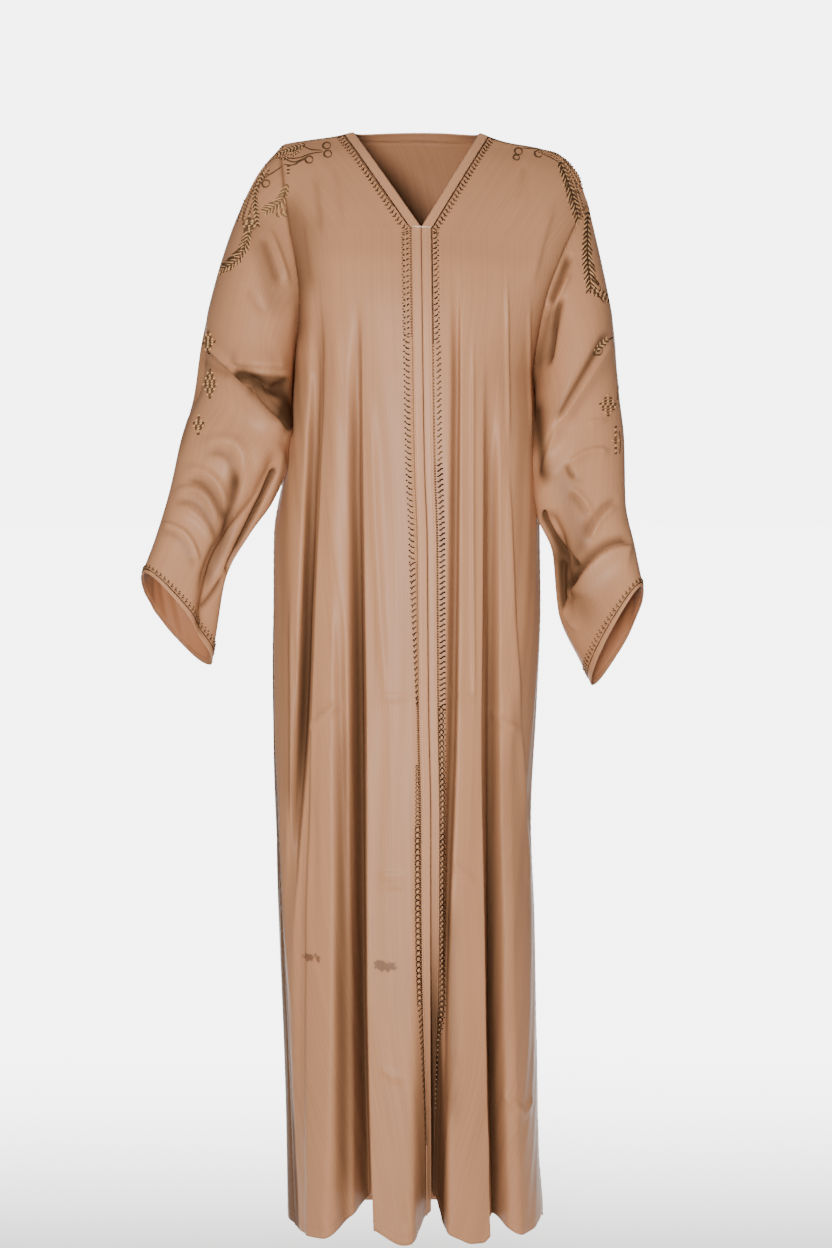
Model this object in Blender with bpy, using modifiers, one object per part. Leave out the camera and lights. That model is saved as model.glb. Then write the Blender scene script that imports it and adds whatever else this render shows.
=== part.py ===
"""Full-length abaya with an edge-to-edge front, banded V neck and wide draped sleeves.

Metres, +Z up. The garment is modelled as it hangs when worn, hollow, with its front facing -Y.
The origin is where the wearer holds it up: on the shoulder line, in the middle of the neck.
Right and left are the wearer's, so the right sleeve lies at -X.
"""

from collections import namedtuple
import math

import bpy
import numpy as np

# Driving dimensions
CLOTH = 0.0016            # wall thickness of the satin
BAND_CLOTH = 0.0018       # the neck band and the plackets are turned double
SEAM_GAP = 0.0008         # clearance between neighbouring pieces
SEAM_FLAT = 0.0040        # stretch beside a seam where both pieces lie in one plane
CORNER_GAP = 0.0024       # how far a piece is trimmed back where three or four pieces meet
CORNER_SPAN = 4           # exponent by which that trim fades round the armhole
BAND = 0.0125             # width of the neck band and of each placket
UNDERARM = 0.320          # drop from the shoulder line to the underarm
LENGTH = 1.433            # drop from the shoulder line to the front hem
TRAIN = 0.022             # how much lower the back hem hangs
HEM_LIFT = 0.36           # rise of the hem for each metre that the cloth lies back in a fold
NECK_DEPTH = 0.134        # drop to the point of the V
NAPE = (0.0, 0.070, 0.003)   # middle of the back neck's free edge
NAPE_SLOPE = (0.0, 0.36, -0.93)   # way down the band at the nape
NECK_ROW = 5 / 12         # share of the armhole rows that the V neck takes
SHOULDER_SHARE = 0.46     # share of the back panel's columns that lie under its neckline
SQUARE = 0.86             # exponent of the body's rounded cross-section
EDGE_EASE = 3             # exponent by which the shape of a panel's edge fades away from it
BACK_ROUND = 0.8          # exponent of the back's curve from the shoulders down
FOLD_FADE = 0.16          # drop over which a fold grows from nothing
SEAM_FADE = 0.08          # share of a row over which folds die out beside the side seam
SLEEVE_SQUARE = 0.90      # exponent of the sleeve's rounded cross-section
SLEEVE_LENGTH = 0.50      # mean of the sleeve's upper and under side
SLEEVE_GIRTH = 0.40       # distance round a sleeve
CAP_EASE = 0.30           # share of the sleeve over which the armhole's shape eases into rings
CUFF_FACING = 0.025       # depth of the facing inside each cuff
FACING_CLOTH = 0.0012     # its thickness
FACING_INSET = 0.0015     # how far its edge lies inside the cuff's
FACING_CLEAR = 0.0006     # clearance between the facing and the cuff
RIGHT, LEFT = -1, 1
SAME = 1e-6

# Rows and columns of the walls
TOP_ROWS = 12             # shoulder to underarm, shared by the body and the sleeve's first ring
SKIRT_ROWS = 12           # underarm to hem
SLEEVE_ROWS = 20          # armhole to cuff
SIDE_COLUMNS = (0.30, 0.58, 0.84)   # between the last fold and the side seam
FRONT_SPREAD = (0.16, 0.94)   # first and last column of a front at the shoulder
BACK_SPREAD = (0.10, 0.92)    # the same of half the back
BAND_REACH = 0.6          # share of a row in which the band's seam is looked for
BAND_STEPS = 240          # steps of that search
SLANT_STEPS = 12          # steps over which the row's direction is taken there
EDGE_STEP = 0.01          # rows over which the free edge's direction is taken

# Cross-sections of the body, one row for each height: drop below the shoulder line, x of the
# front opening, x of the two sides, y of the front and of the back, y of the two side seams
Level = namedtuple("Level", "drop centre right left front back right_seam left_seam")
LEVELS = [
    Level(0.320, 0.000, -0.1660, 0.1460, -0.1400, 0.1120, 0.000, 0.000),
    Level(0.390, 0.001, -0.1690, 0.1445, -0.1410, 0.1090, 0.000, 0.000),
    Level(0.450, 0.002, -0.1765, 0.1470, -0.1420, 0.1070, 0.000, 0.000),
    Level(0.530, 0.003, -0.1930, 0.1560, -0.1430, 0.1090, -0.006, 0.000),
    Level(0.620, 0.004, -0.1940, 0.1570, -0.1450, 0.1150, -0.016, 0.000),
    Level(0.750, 0.006, -0.1950, 0.1520, -0.1490, 0.1240, -0.028, -0.004),
    Level(0.900, 0.009, -0.1920, 0.1450, -0.1540, 0.1320, -0.040, -0.008),
    Level(1.050, 0.012, -0.1880, 0.1500, -0.1590, 0.1380, -0.050, -0.012),
    Level(1.200, 0.014, -0.1830, 0.1530, -0.1640, 0.1440, -0.058, -0.016),
    Level(1.340, 0.014, -0.1790, 0.1560, -0.1680, 0.1490, -0.064, -0.020),
    Level(1.460, 0.013, -0.1760, 0.1640, -0.1710, 0.1530, -0.068, -0.022),
]

# Depth of the free front edge: share 0 to 1 runs down the V, 1 to 2 from its point to the
# underarm's height. The middle of the back the same way, from the band's seam to that height.
Edge = namedtuple("Edge", "share y")
FRONT_EDGE = [
    Edge(0.00, 0.000), Edge(0.20, -0.030), Edge(0.43, -0.056), Edge(0.74, -0.084),
    Edge(1.00, -0.103), Edge(1.25, -0.124), Edge(1.57, -0.135), Edge(2.00, -0.140),
]
BACK_EDGE = [
    Edge(0.00, 0.0745), Edge(0.15, 0.0930), Edge(0.35, 0.1080), Edge(0.62, 0.1160),
    Edge(1.00, 0.1120),
]

# Points of the shoulder seam and the armhole, from the neck outwards and from the top down
Point = namedtuple("Point", "share x y z")
SHOULDER = {
    RIGHT: [
        Point(0.00, -0.0875, 0.000, -0.0040), Point(0.28, -0.1133, 0.000, -0.0090),
        Point(0.55, -0.1390, 0.000, -0.0125), Point(0.83, -0.1650, 0.000, -0.0163),
        Point(1.00, -0.1805, 0.000, -0.0200),
    ],
    LEFT: [
        Point(0.00, 0.0760, 0.000, -0.0050), Point(0.25, 0.1117, 0.000, -0.0163),
        Point(0.55, 0.1545, 0.000, -0.0242), Point(0.78, 0.1874, 0.000, -0.0370),
        Point(0.90, 0.2045, 0.000, -0.0580), Point(1.00, 0.2188, 0.000, -0.0980),
    ],
}
ARMHOLE_FRONT = {
    RIGHT: [
        Point(0.00, -0.1805, 0.000, -0.0200), Point(0.08, -0.1820, -0.018, -0.0340),
        Point(0.20, -0.1775, -0.045, -0.0750), Point(0.38, -0.1700, -0.060, -0.1280),
        Point(0.55, -0.1610, -0.066, -0.1770), Point(0.68, -0.1570, -0.062, -0.2130),
        Point(0.80, -0.1580, -0.048, -0.2500), Point(0.93, -0.1640, -0.018, -0.2960),
        Point(1.00, -0.1660, 0.000, -0.3200),
    ],
    LEFT: [
        Point(0.00, 0.2188, 0.000, -0.0980), Point(0.10, 0.2113, -0.016, -0.1060),
        Point(0.20, 0.2028, -0.030, -0.1210), Point(0.33, 0.1890, -0.045, -0.1480),
        Point(0.47, 0.1755, -0.058, -0.1800), Point(0.62, 0.1638, -0.062, -0.2120),
        Point(0.77, 0.1545, -0.050, -0.2507), Point(0.91, 0.1480, -0.022, -0.2950),
        Point(1.00, 0.1460, 0.000, -0.3200),
    ],
}
ARMHOLE_BACK = {
    RIGHT: [
        Point(0.00, -0.1805, 0.000, -0.0200), Point(0.08, -0.1815, 0.018, -0.0330),
        Point(0.25, -0.1780, 0.043, -0.0850), Point(0.50, -0.1680, 0.060, -0.1650),
        Point(0.75, -0.1630, 0.045, -0.2450), Point(1.00, -0.1660, 0.000, -0.3200),
    ],
    LEFT: [
        Point(0.00, 0.2188, 0.000, -0.0980), Point(0.10, 0.2120, 0.018, -0.1080),
        Point(0.25, 0.2010, 0.041, -0.1380), Point(0.50, 0.1760, 0.060, -0.1950),
        Point(0.75, 0.1550, 0.045, -0.2600), Point(1.00, 0.1460, 0.000, -0.3200),
    ],
}

# Folds of the fronts and the back. The tuples hold values at four heights: x is the line of the
# valley, depth how far it lies behind the ridges, inner and outer how far its sides reach towards
# the middle and towards the side seam. floor is half the width of its flat bottom.
FOLD_DROPS = (0.350, 0.750, 1.100, 1.433)
Fold = namedtuple("Fold", "start floor x depth inner outer")
FOLDS_FRONT = {
    RIGHT: [
        Fold(0.200, 0.004, (-0.0800, -0.0760, -0.0740, -0.0740), (0.003, 0.016, 0.048, 0.092),
             (0.012, 0.012, 0.012, 0.012), (0.030, 0.030, 0.040, 0.060)),
        Fold(0.170, 0.002, (-0.1280, -0.1420, -0.1540, -0.1570), (0.004, 0.008, 0.006, 0.004),
             (0.009, 0.009, 0.009, 0.009), (0.011, 0.011, 0.011, 0.011)),
    ],
    LEFT: [
        Fold(0.240, 0.003, (0.0850, 0.0880, 0.0930, 0.0960), (0.002, 0.015, 0.044, 0.072),
             (0.011, 0.011, 0.011, 0.011), (0.032, 0.032, 0.032, 0.036)),
    ],
}
FOLDS_BACK = {
    RIGHT: [
        Fold(0.240, 0.004, (-0.0300, -0.0330, -0.0360, -0.0400), (0.003, 0.014, 0.030, 0.046),
             (0.018, 0.018, 0.018, 0.018), (0.018, 0.018, 0.018, 0.018)),
        Fold(0.260, 0.004, (-0.0900, -0.0980, -0.1020, -0.1050), (0.003, 0.012, 0.030, 0.048),
             (0.016, 0.016, 0.016, 0.016), (0.020, 0.020, 0.020, 0.020)),
    ],
    LEFT: [
        Fold(0.260, 0.004, (0.0350, 0.0380, 0.0400, 0.0420), (0.003, 0.012, 0.028, 0.044),
             (0.018, 0.018, 0.018, 0.018), (0.018, 0.018, 0.018, 0.018)),
        Fold(0.240, 0.004, (0.0860, 0.0920, 0.0960, 0.1000), (0.003, 0.013, 0.030, 0.046),
             (0.020, 0.020, 0.020, 0.020), (0.016, 0.016, 0.016, 0.016)),
    ],
}
# The two front edges turn back into the skirt where the opening parts: how far, and how wide
# the turned stretch is on each side
Turn = namedtuple("Turn", "drop depth right left")
OPENING = [
    Turn(0.250, 0.000, 0.024, 0.042), Turn(0.400, 0.003, 0.024, 0.041),
    Turn(0.850, 0.006, 0.024, 0.028), Turn(1.000, 0.011, 0.024, 0.027),
    Turn(1.100, 0.022, 0.025, 0.027), Turn(1.200, 0.048, 0.025, 0.027),
    Turn(1.300, 0.082, 0.026, 0.025), Turn(1.460, 0.128, 0.028, 0.022),
]

# Rings of each sleeve: share of its length, the point on the outer side of the arm, the point
# on its underside, how deep the ring is to the front and to the back, how much its front is
# lifted and its back dropped, and how much it narrows towards the underside
Ring = namedtuple("Ring", "share ox oy oz ix iy iz front back tilt narrow")
SLEEVES = {
    RIGHT: [
        Ring(0.000, -0.1805, 0.000, -0.0200, -0.1660, 0.000, -0.320, 0.062, 0.060, 0.000, 0.00),
        Ring(0.125, -0.2120, -0.002, -0.0560, -0.1710, -0.002, -0.342, 0.074, 0.066, 0.000, 0.05),
        Ring(0.250, -0.2430, -0.004, -0.1200, -0.1745, -0.004, -0.363, 0.078, 0.066, 0.000, 0.10),
        Ring(0.375, -0.2680, -0.007, -0.1950, -0.1775, -0.006, -0.384, 0.078, 0.062, 0.000, 0.12),
        Ring(0.500, -0.2880, -0.012, -0.2800, -0.1805, -0.010, -0.408, 0.068, 0.056, 0.000, 0.15),
        Ring(0.600, -0.2980, -0.020, -0.3500, -0.1850, -0.018, -0.440, 0.058, 0.052, 0.002, 0.20),
        Ring(0.700, -0.3140, -0.030, -0.4080, -0.2010, -0.028, -0.484, 0.054, 0.050, 0.004, 0.25),
        Ring(0.800, -0.3270, -0.042, -0.4700, -0.2250, -0.040, -0.530, 0.052, 0.050, 0.006, 0.30),
        Ring(0.900, -0.3450, -0.056, -0.5340, -0.2530, -0.054, -0.582, 0.050, 0.050, 0.014, 0.30),
        Ring(1.000, -0.3630, -0.070, -0.5880, -0.2710, -0.068, -0.690, 0.048, 0.048, 0.034, 0.20),
    ],
    LEFT: [
        Ring(0.000, 0.2188, 0.000, -0.0980, 0.1460, 0.000, -0.320, 0.062, 0.060, 0.000, 0.00),
        Ring(0.120, 0.2300, -0.002, -0.1440, 0.1490, -0.002, -0.345, 0.068, 0.064, 0.000, 0.05),
        Ring(0.250, 0.2430, -0.004, -0.2030, 0.1500, -0.004, -0.388, 0.070, 0.064, 0.000, 0.10),
        Ring(0.400, 0.2540, -0.007, -0.2680, 0.1510, -0.007, -0.435, 0.068, 0.062, 0.000, 0.15),
        Ring(0.520, 0.2590, -0.012, -0.3400, 0.1535, -0.012, -0.470, 0.062, 0.058, 0.000, 0.18),
        Ring(0.650, 0.2660, -0.022, -0.4100, 0.1600, -0.020, -0.508, 0.056, 0.054, 0.003, 0.22),
        Ring(0.780, 0.2670, -0.034, -0.4840, 0.1720, -0.030, -0.552, 0.052, 0.052, 0.006, 0.28),
        Ring(0.900, 0.2790, -0.048, -0.5480, 0.1790, -0.040, -0.628, 0.050, 0.050, 0.014, 0.30),
        Ring(1.000, 0.2890, -0.066, -0.6050, 0.2210, -0.058, -0.718, 0.048, 0.046, 0.034, 0.20),
    ],
}
# Folds of the sleeves: where each line starts and ends along the sleeve and round it, in turns
# from the outer side by way of the front, how deep it is and how far it reaches to each side
Crease = namedtuple("Crease", "share_a turn_a share_b turn_b depth reach")
CREASES = {
    RIGHT: [
        Crease(0.545, 0.030, 0.535, 0.440, 0.014, 0.055),
        Crease(0.640, 0.420, 0.960, 0.400, 0.016, 0.040),
    ],
    LEFT: [
        Crease(0.420, 0.080, 0.470, 0.400, 0.008, 0.050),
        Crease(0.700, 0.420, 0.880, 0.410, 0.013, 0.034),
    ],
}

# Colours, roughness
SATIN = ((0.42, 0.26, 0.17, 1.0), 0.42)
BAND_SATIN = ((0.55, 0.36, 0.25, 1.0), 0.45)
FACING_SATIN = ((0.30, 0.18, 0.12, 1.0), 0.50)


def smooth(at, knots, values):
    """Value at each place of a smooth curve through the knots that never overshoots them."""
    at = np.clip(np.asarray(at, float), knots[0], knots[-1])
    knots = np.asarray(knots, float)
    values = np.asarray(values, float)
    step = np.diff(knots)
    slope = np.diff(values) / step
    rate = np.zeros(len(values))
    rate[0], rate[-1] = slope[0], slope[-1]
    product = slope[:-1] * slope[1:]
    total = slope[:-1] + slope[1:]
    rate[1:-1] = np.where(product > 0, 2 * product / np.where(product > 0, total, 1.0), 0.0)
    k = np.clip(np.searchsorted(knots, at, side="right") - 1, 0, len(step) - 1)
    f = (at - knots[k]) / step[k]
    g = 1 - f
    return (values[k] * g * g * (1 + 2 * f) + values[k + 1] * f * f * (1 + 2 * g)
            + step[k] * (rate[k] * f * g * g - rate[k + 1] * f * f * g))


def ease(x):
    """0 below 0, 1 above 1, smooth between."""
    x = np.clip(x, 0.0, 1.0)
    return x * x * (3 - 2 * x)


def read(table, field, at):
    """A field of a table at the given places, which are in its first column."""
    return smooth(at, [row[0] for row in table], [getattr(row, field) for row in table])


def line(table, at):
    """Points of a table of x, y and z."""
    return np.stack([read(table, field, at) for field in "xyz"], axis=-1)


def unit(v):
    """Vectors of length one."""
    return v / np.maximum(np.linalg.norm(v, axis=-1, keepdims=True), 1e-9)


def fold_depth(folds, side, x, drop):
    """How far the folds set the cloth back at these places: full on a fold's floor, easing to
    nothing where its sides end.
    """
    total = np.zeros(np.broadcast(x, drop).shape)
    for fold in folds[side]:
        valley, depth, inner, outer = [smooth(drop, FOLD_DROPS, values) for values in fold[2:]]
        offset = (x - valley) * side
        reach = np.where(offset < 0, inner, outer)
        sides = 1 - ease((np.abs(offset) - fold.floor) / (reach - fold.floor))
        total = total + depth * ease((drop - fold.start) / FOLD_FADE) * sides
    return total


def turn_depth(side, x, drop):
    """How far the front edge is turned back into the skirt."""
    reach = read(OPENING, "left" if side == LEFT else "right", drop)
    away = np.abs(x - read(LEVELS, "centre", drop))
    return read(OPENING, "depth", drop) * (1 - ease(away / reach))


def seam_point(side, drop):
    """x and y of the side seam, which lies on the back's rounded side, forward of its middle."""
    name = "left" if side == LEFT else "right"
    y = read(LEVELS, name + "_seam", drop)
    side_x = read(LEVELS, name, drop)
    power = 2 / SQUARE
    share = (1 - (np.abs(y) / read(LEVELS, "back", drop)) ** power) ** (1 / power)
    return side_x * share, y


def rounded(angle):
    """Sine and cosine raised to the body's exponent, with the cosine's sign kept."""
    sine = np.abs(np.sin(angle)) ** SQUARE
    cosine = np.cos(angle)
    return sine, np.sign(cosine) * np.abs(cosine) ** SQUARE


def front_edge(side, row):
    """Free edge of a front: down the V, then down the opening to the underarm's height."""
    top = np.clip(row / TOP_ROWS, 0, 1)
    down_v = np.clip(top / NECK_ROW, 0, 1)
    below = np.clip((top - NECK_ROW) / (1 - NECK_ROW), 0, 1)
    neck = SHOULDER[side][0]
    z = neck.z - (NECK_DEPTH + neck.z) * down_v - (UNDERARM - NECK_DEPTH) * below
    y = read(FRONT_EDGE, "y", down_v + below)
    return np.stack([neck.x * (1 - down_v), y, z], axis=-1)


def front(side, row, turn):
    """Points of a front. row runs from the shoulder to the hem, turn from the free edge, 0, to
    the armhole or side seam, 1. Each row is a quarter of a rounded rectangle, set back by folds.
    """
    row, turn = np.broadcast_arrays(np.asarray(row, float), np.asarray(turn, float))
    out, forward = rounded(turn * math.pi / 2)
    top = np.clip(row / TOP_ROWS, 0, 1)
    inner = front_edge(side, row)
    outer = line(ARMHOLE_FRONT[side], top)
    seam = line(SHOULDER[side], out)
    neck_z, arm_z = SHOULDER[side][0].z, SHOULDER[side][-1].z
    bend = (1 - top) ** EDGE_EASE * (seam[..., 2] - neck_z - (arm_z - neck_z) * out)
    upper = np.stack([inner[..., 0] + (outer[..., 0] - inner[..., 0]) * out,
                      outer[..., 1] + (inner[..., 1] - outer[..., 1]) * forward,
                      inner[..., 2] + (outer[..., 2] - inner[..., 2]) * out + bend], axis=-1)
    side_x, side_y = seam_point(side, LENGTH)
    centre = read(LEVELS, "centre", LENGTH)
    hem_x = centre + (side_x - centre) * out
    fade = ease((1 - turn) / SEAM_FADE)
    hem_depth = fold_depth(FOLDS_FRONT, side, hem_x, LENGTH) * fade + turn_depth(side, hem_x, LENGTH)
    down = np.clip((row - TOP_ROWS) / SKIRT_ROWS, 0, 1)
    drop = UNDERARM + (LENGTH - HEM_LIFT * hem_depth - UNDERARM) * down
    side_x, side_y = seam_point(side, drop)
    centre = read(LEVELS, "centre", drop)
    depth_y = read(LEVELS, "front", drop) - side_y
    skirt = np.stack([centre + (side_x - centre) * out, side_y + depth_y * forward, -drop], axis=-1)
    points = np.where(row[..., None] < TOP_ROWS, upper, skirt)
    width = np.where(row < TOP_ROWS, np.abs(outer[..., 0] - inner[..., 0]), np.abs(side_x - centre))
    depth = np.where(row < TOP_ROWS, np.abs(outer[..., 1] - inner[..., 1]), np.abs(depth_y))
    power = 2 / SQUARE - 1
    normal = unit(np.stack([side * out ** power * depth, -forward ** power * width], axis=-1))
    x, z = points[..., 0], points[..., 2]
    set_back = fold_depth(FOLDS_FRONT, side, x, -z) * fade + turn_depth(side, x, -z)
    points[..., :2] -= normal * set_back[..., None]
    return points


def neck_start(side):
    """Share of the shoulder seam that the neck band takes."""
    return rounded(band_turn(side, np.zeros(1)) * math.pi / 2)[0][0]


def back_neck(side, turn):
    """Free edge of the back neck and its band's seam, from the shoulder, 0, to the middle, 1."""
    angle = np.asarray(turn, float) * math.pi / 2
    neck = SHOULDER[side][0]
    across, rise = np.abs(np.cos(angle)) ** SQUARE, np.sin(angle)
    edge = np.stack([neck.x * across, NAPE[1] * rise ** SQUARE,
                     neck.z + (NAPE[2] - neck.z) * rise ** 2], axis=-1)
    shoulder = line(SHOULDER[side], neck_start(side)) - line(SHOULDER[side], 0.0)
    down = unit(np.array(NAPE_SLOPE)) * BAND
    return edge, edge + np.cos(angle)[..., None] * shoulder + rise[..., None] * down


def back_top(side, turn):
    """Top edge of the back: the neck band's seam from the middle, then the shoulder seam."""
    under_neck = np.clip(turn / SHOULDER_SHARE, 0, 1)
    along = np.clip((turn - SHOULDER_SHARE) / (1 - SHOULDER_SHARE), 0, 1)
    neck_seam = back_neck(side, 1 - under_neck)[1]
    start = neck_start(side)
    shoulder = line(SHOULDER[side], start + (1 - start) * along)
    return np.where((turn < SHOULDER_SHARE)[..., None], neck_seam, shoulder)


def back_level(side, drop, turn):
    """x and y of the back's rounded side at a drop, which wraps forward to the side seam."""
    side_x = read(LEVELS, "left" if side == LEFT else "right", drop)
    depth = read(LEVELS, "back", drop)
    seam_y = seam_point(side, drop)[1]
    reach = math.pi / 2 + np.arcsin((np.abs(seam_y) / depth) ** (1 / SQUARE))
    out, behind = rounded(turn * reach)
    power = 2 / SQUARE - 1
    normal = np.stack([side * out ** power * depth,
                       np.sign(behind) * np.abs(behind) ** power * np.abs(side_x)], axis=-1)
    return side_x * out, depth * behind, unit(normal)


def back(side, row, turn):
    """Points of half the back. turn runs from the middle of the back, 0, to the armhole or side
    seam, 1. Its top is a patch stretched between its four edges, the skirt is rings with folds.
    """
    row, turn = np.broadcast_arrays(np.asarray(row, float), np.asarray(turn, float))
    top = np.clip(row / TOP_ROWS, 0, 1)
    under_x, under_y, _ = back_level(side, np.full(turn.shape, UNDERARM), turn)
    under = np.stack([under_x, under_y, np.full(turn.shape, -UNDERARM)], axis=-1)
    share = np.stack([top, np.sin(top * math.pi / 2) ** BACK_ROUND, top], axis=-1)
    start, armhole = back_top(side, turn), line(ARMHOLE_BACK[side], top)
    corner, underarm = back_top(side, np.ones(1))[0], line(ARMHOLE_BACK[side], 1.0)
    nape = back_neck(side, np.ones(1))[1][0]
    low = np.array([0.0, BACK_EDGE[-1].y, -UNDERARM])
    middle = nape + (low - nape) * share
    middle[..., 1] = read(BACK_EDGE, "y", top)
    patch = start + (under - start) * share
    bow = armhole - corner - (underarm - corner) * share
    patch = patch + bow * turn[..., None] ** EDGE_EASE
    bow = middle - nape - (low - nape) * share
    patch = patch + bow * (1 - turn[..., None]) ** EDGE_EASE
    fade = ease((1 - turn) / SEAM_FADE)
    hem = LENGTH + TRAIN * np.cos(turn * math.pi / 2) ** 2
    hem_x, _, _ = back_level(side, np.full(turn.shape, LENGTH), turn)
    hem = hem - HEM_LIFT * fold_depth(FOLDS_BACK, side, hem_x, LENGTH) * fade
    drop = UNDERARM + (hem - UNDERARM) * np.clip((row - TOP_ROWS) / SKIRT_ROWS, 0, 1)
    x, y, normal = back_level(side, drop, turn)
    points = np.where(row[..., None] < TOP_ROWS, patch, np.stack([x, y, -drop], axis=-1))
    set_back = fold_depth(FOLDS_BACK, side, points[..., 0], -points[..., 2]) * fade
    points[..., :2] -= normal * set_back[..., None]
    return points


def sleeve_ring(side, share, turn):
    """Points of a sleeve's rings and the middles of these rings, before its folds."""
    rings = SLEEVES[side]
    outer = np.stack([read(rings, name, share) for name in ("ox", "oy", "oz")], axis=-1)
    under = np.stack([read(rings, name, share) for name in ("ix", "iy", "iz")], axis=-1)
    cosine, sine = np.cos(turn * 2 * math.pi), np.sin(turn * 2 * math.pi)
    along = np.sign(cosine) * np.abs(cosine) ** SLEEVE_SQUARE
    across = np.sign(sine) * np.abs(sine) ** SLEEVE_SQUARE
    depth = np.where(sine > 0, read(rings, "front", share), read(rings, "back", share))
    across = across * (1 - read(rings, "narrow", share) * (1 - cosine) / 2)
    middle = (outer + under) / 2
    ring = middle + (outer - under) / 2 * along[..., None]
    ring[..., 1] -= across * depth
    ring[..., 2] += across * read(rings, "tilt", share)
    return ring, middle


def sleeve(side, share, turn):
    """Points of a sleeve. share runs from the armhole to the cuff, turn round it from the outer
    side by way of the front, the underside and the back. The armhole's loop eases into rings.
    """
    share, turn = np.broadcast_arrays(np.asarray(share, float), np.asarray(turn, float))
    loop = np.where((turn <= 0.5)[..., None], line(ARMHOLE_FRONT[side], turn * 2),
                    line(ARMHOLE_BACK[side], (1 - turn) * 2))
    ring, middle = sleeve_ring(side, share, turn)
    first, _ = sleeve_ring(side, np.zeros(share.shape), turn)
    points = ring + (loop - first) * (1 - ease(share / CAP_EASE))[..., None]
    for crease in CREASES[side]:
        points = points + unit(middle - points) * crease_depth(crease, share, turn)[..., None]
    return points


def crease_depth(crease, share, turn):
    """How far a sleeve fold sets the cloth in, by the distance from the fold's line."""
    scale = np.array([SLEEVE_LENGTH, SLEEVE_GIRTH])
    here = np.stack([share, turn], axis=-1) * scale
    start = np.array([crease.share_a, crease.turn_a]) * scale
    run = np.array([crease.share_b, crease.turn_b]) * scale - start
    along = np.clip((here - start) @ run / (run @ run), 0, 1)
    away = np.linalg.norm(here - start - along[..., None] * run, axis=-1)
    return crease.depth * (1 - ease(away / crease.reach))


def band_turn(side, row):
    """Where the seam of the neck band or the placket lies in each row of a front."""
    fine = np.linspace(0, BAND_REACH, BAND_STEPS + 1)
    points = front(side, row[:, None], fine[None, :])
    run = np.linalg.norm(np.diff(points, axis=1), axis=-1)
    along = np.concatenate([np.zeros((len(row), 1)), np.cumsum(run, axis=1)], axis=1)
    after = front(side, np.minimum(row + EDGE_STEP, TOP_ROWS + SKIRT_ROWS), 0.0)
    down = unit(after - front(side, row - EDGE_STEP, 0.0))
    across = unit(points[:, SLANT_STEPS] - points[:, 0])
    slant = np.linalg.norm(np.cross(down, across), axis=-1)
    return np.array([np.interp(BAND / s, a, fine) for s, a in zip(slant, along)])


def turn_of(share):
    """Place in a row, by angle, of a share of the row's width."""
    return np.arcsin(np.clip(share, 0, 1) ** (1 / SQUARE)) * 2 / math.pi


def fold_columns(fold, drop, side):
    """x of the columns that a fold needs: its sides' ends and middles and its floor."""
    valley, _, inner, outer = [smooth(drop, FOLD_DROPS, values) for values in fold[2:]]
    inward = [inner, (inner + fold.floor) / 2, fold.floor]
    outward = [fold.floor, (outer + fold.floor) / 2, outer]
    return [valley - side * step for step in inward] + [valley + side * step for step in outward]


def front_turns(side, rows):
    """Places of a front's columns in each row: spread evenly at the shoulder, easing to the
    lines of the folds at the underarm and below.
    """
    drops = UNDERARM + (LENGTH - UNDERARM) * np.clip((rows - TOP_ROWS) / SKIRT_ROWS, 0, 1)
    side_x, _ = seam_point(side, drops)
    centre = read(LEVELS, "centre", drops)
    reach = read(OPENING, "left" if side == LEFT else "right", drops)
    across = [centre + side * reach]
    for fold in sorted(FOLDS_FRONT[side], key=lambda fold: abs(fold.x[0])):
        across += fold_columns(fold, drops, side)
    share = (np.stack(across, axis=1) - centre[:, None]) / (side_x - centre)[:, None]
    lines = turn_of(share)
    last = lines[:, -1:]
    ends = last + (1 - last) * np.array(SIDE_COLUMNS)
    lines = np.concatenate([lines, ends], axis=1)
    even = np.linspace(*FRONT_SPREAD, lines.shape[1])
    weight = ease(rows / TOP_ROWS)[:, None]
    return even * (1 - weight) + lines * weight


def back_turns(side, rows):
    """Places of the columns of half the back, the same way, from the middle outwards."""
    drops = UNDERARM + (LENGTH - UNDERARM) * np.clip((rows - TOP_ROWS) / SKIRT_ROWS, 0, 1)
    side_x, _ = seam_point(side, drops)
    across = []
    for fold in sorted(FOLDS_BACK[side], key=lambda fold: abs(fold.x[0])):
        columns = fold_columns(fold, drops, side)
        across += [columns[0], columns[2], columns[3], columns[5]]
    share = np.stack(across, axis=1) / side_x[:, None]
    lines = turn_of(share)
    last = lines[:, -1:]
    lines = np.concatenate([lines, last + (1 - last) * np.array(SIDE_COLUMNS)], axis=1)
    even = np.linspace(*BACK_SPREAD, lines.shape[1])
    even[np.argmin(np.abs(even - SHOULDER_SHARE))] = SHOULDER_SHARE
    weight = ease(rows / TOP_ROWS)[:, None]
    return even * (1 - weight) + lines * weight


def cloth(name, grid, thickness, finish, closed=False, flip=False):
    """A piece of cloth: a sheet over a grid of points, given its thickness inwards."""
    rows, columns = grid.shape[:2]
    index = np.arange(rows * columns).reshape(rows, columns)
    if closed:
        index = np.concatenate([index, index[:, :1]], axis=1)
    faces = np.stack([index[:-1, :-1], index[1:, :-1], index[1:, 1:], index[:-1, 1:]], axis=-1)
    faces = faces.reshape(-1, 4)
    if flip:
        faces = faces[:, ::-1]
    mesh = bpy.data.meshes.new(name)
    mesh.from_pydata(grid.reshape(-1, 3).tolist(), [], faces.tolist())
    mesh.shade_smooth()
    mesh.set_sharp_from_angle(angle=math.radians(50))
    mesh.materials.append(finish)
    piece = bpy.data.objects.new(name, mesh)
    wall = piece.modifiers.new("Cloth thickness", "SOLIDIFY")
    wall.thickness = thickness
    wall.offset = -1
    wall.use_even_offset = True
    garment.objects.link(piece)
    return piece


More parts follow.
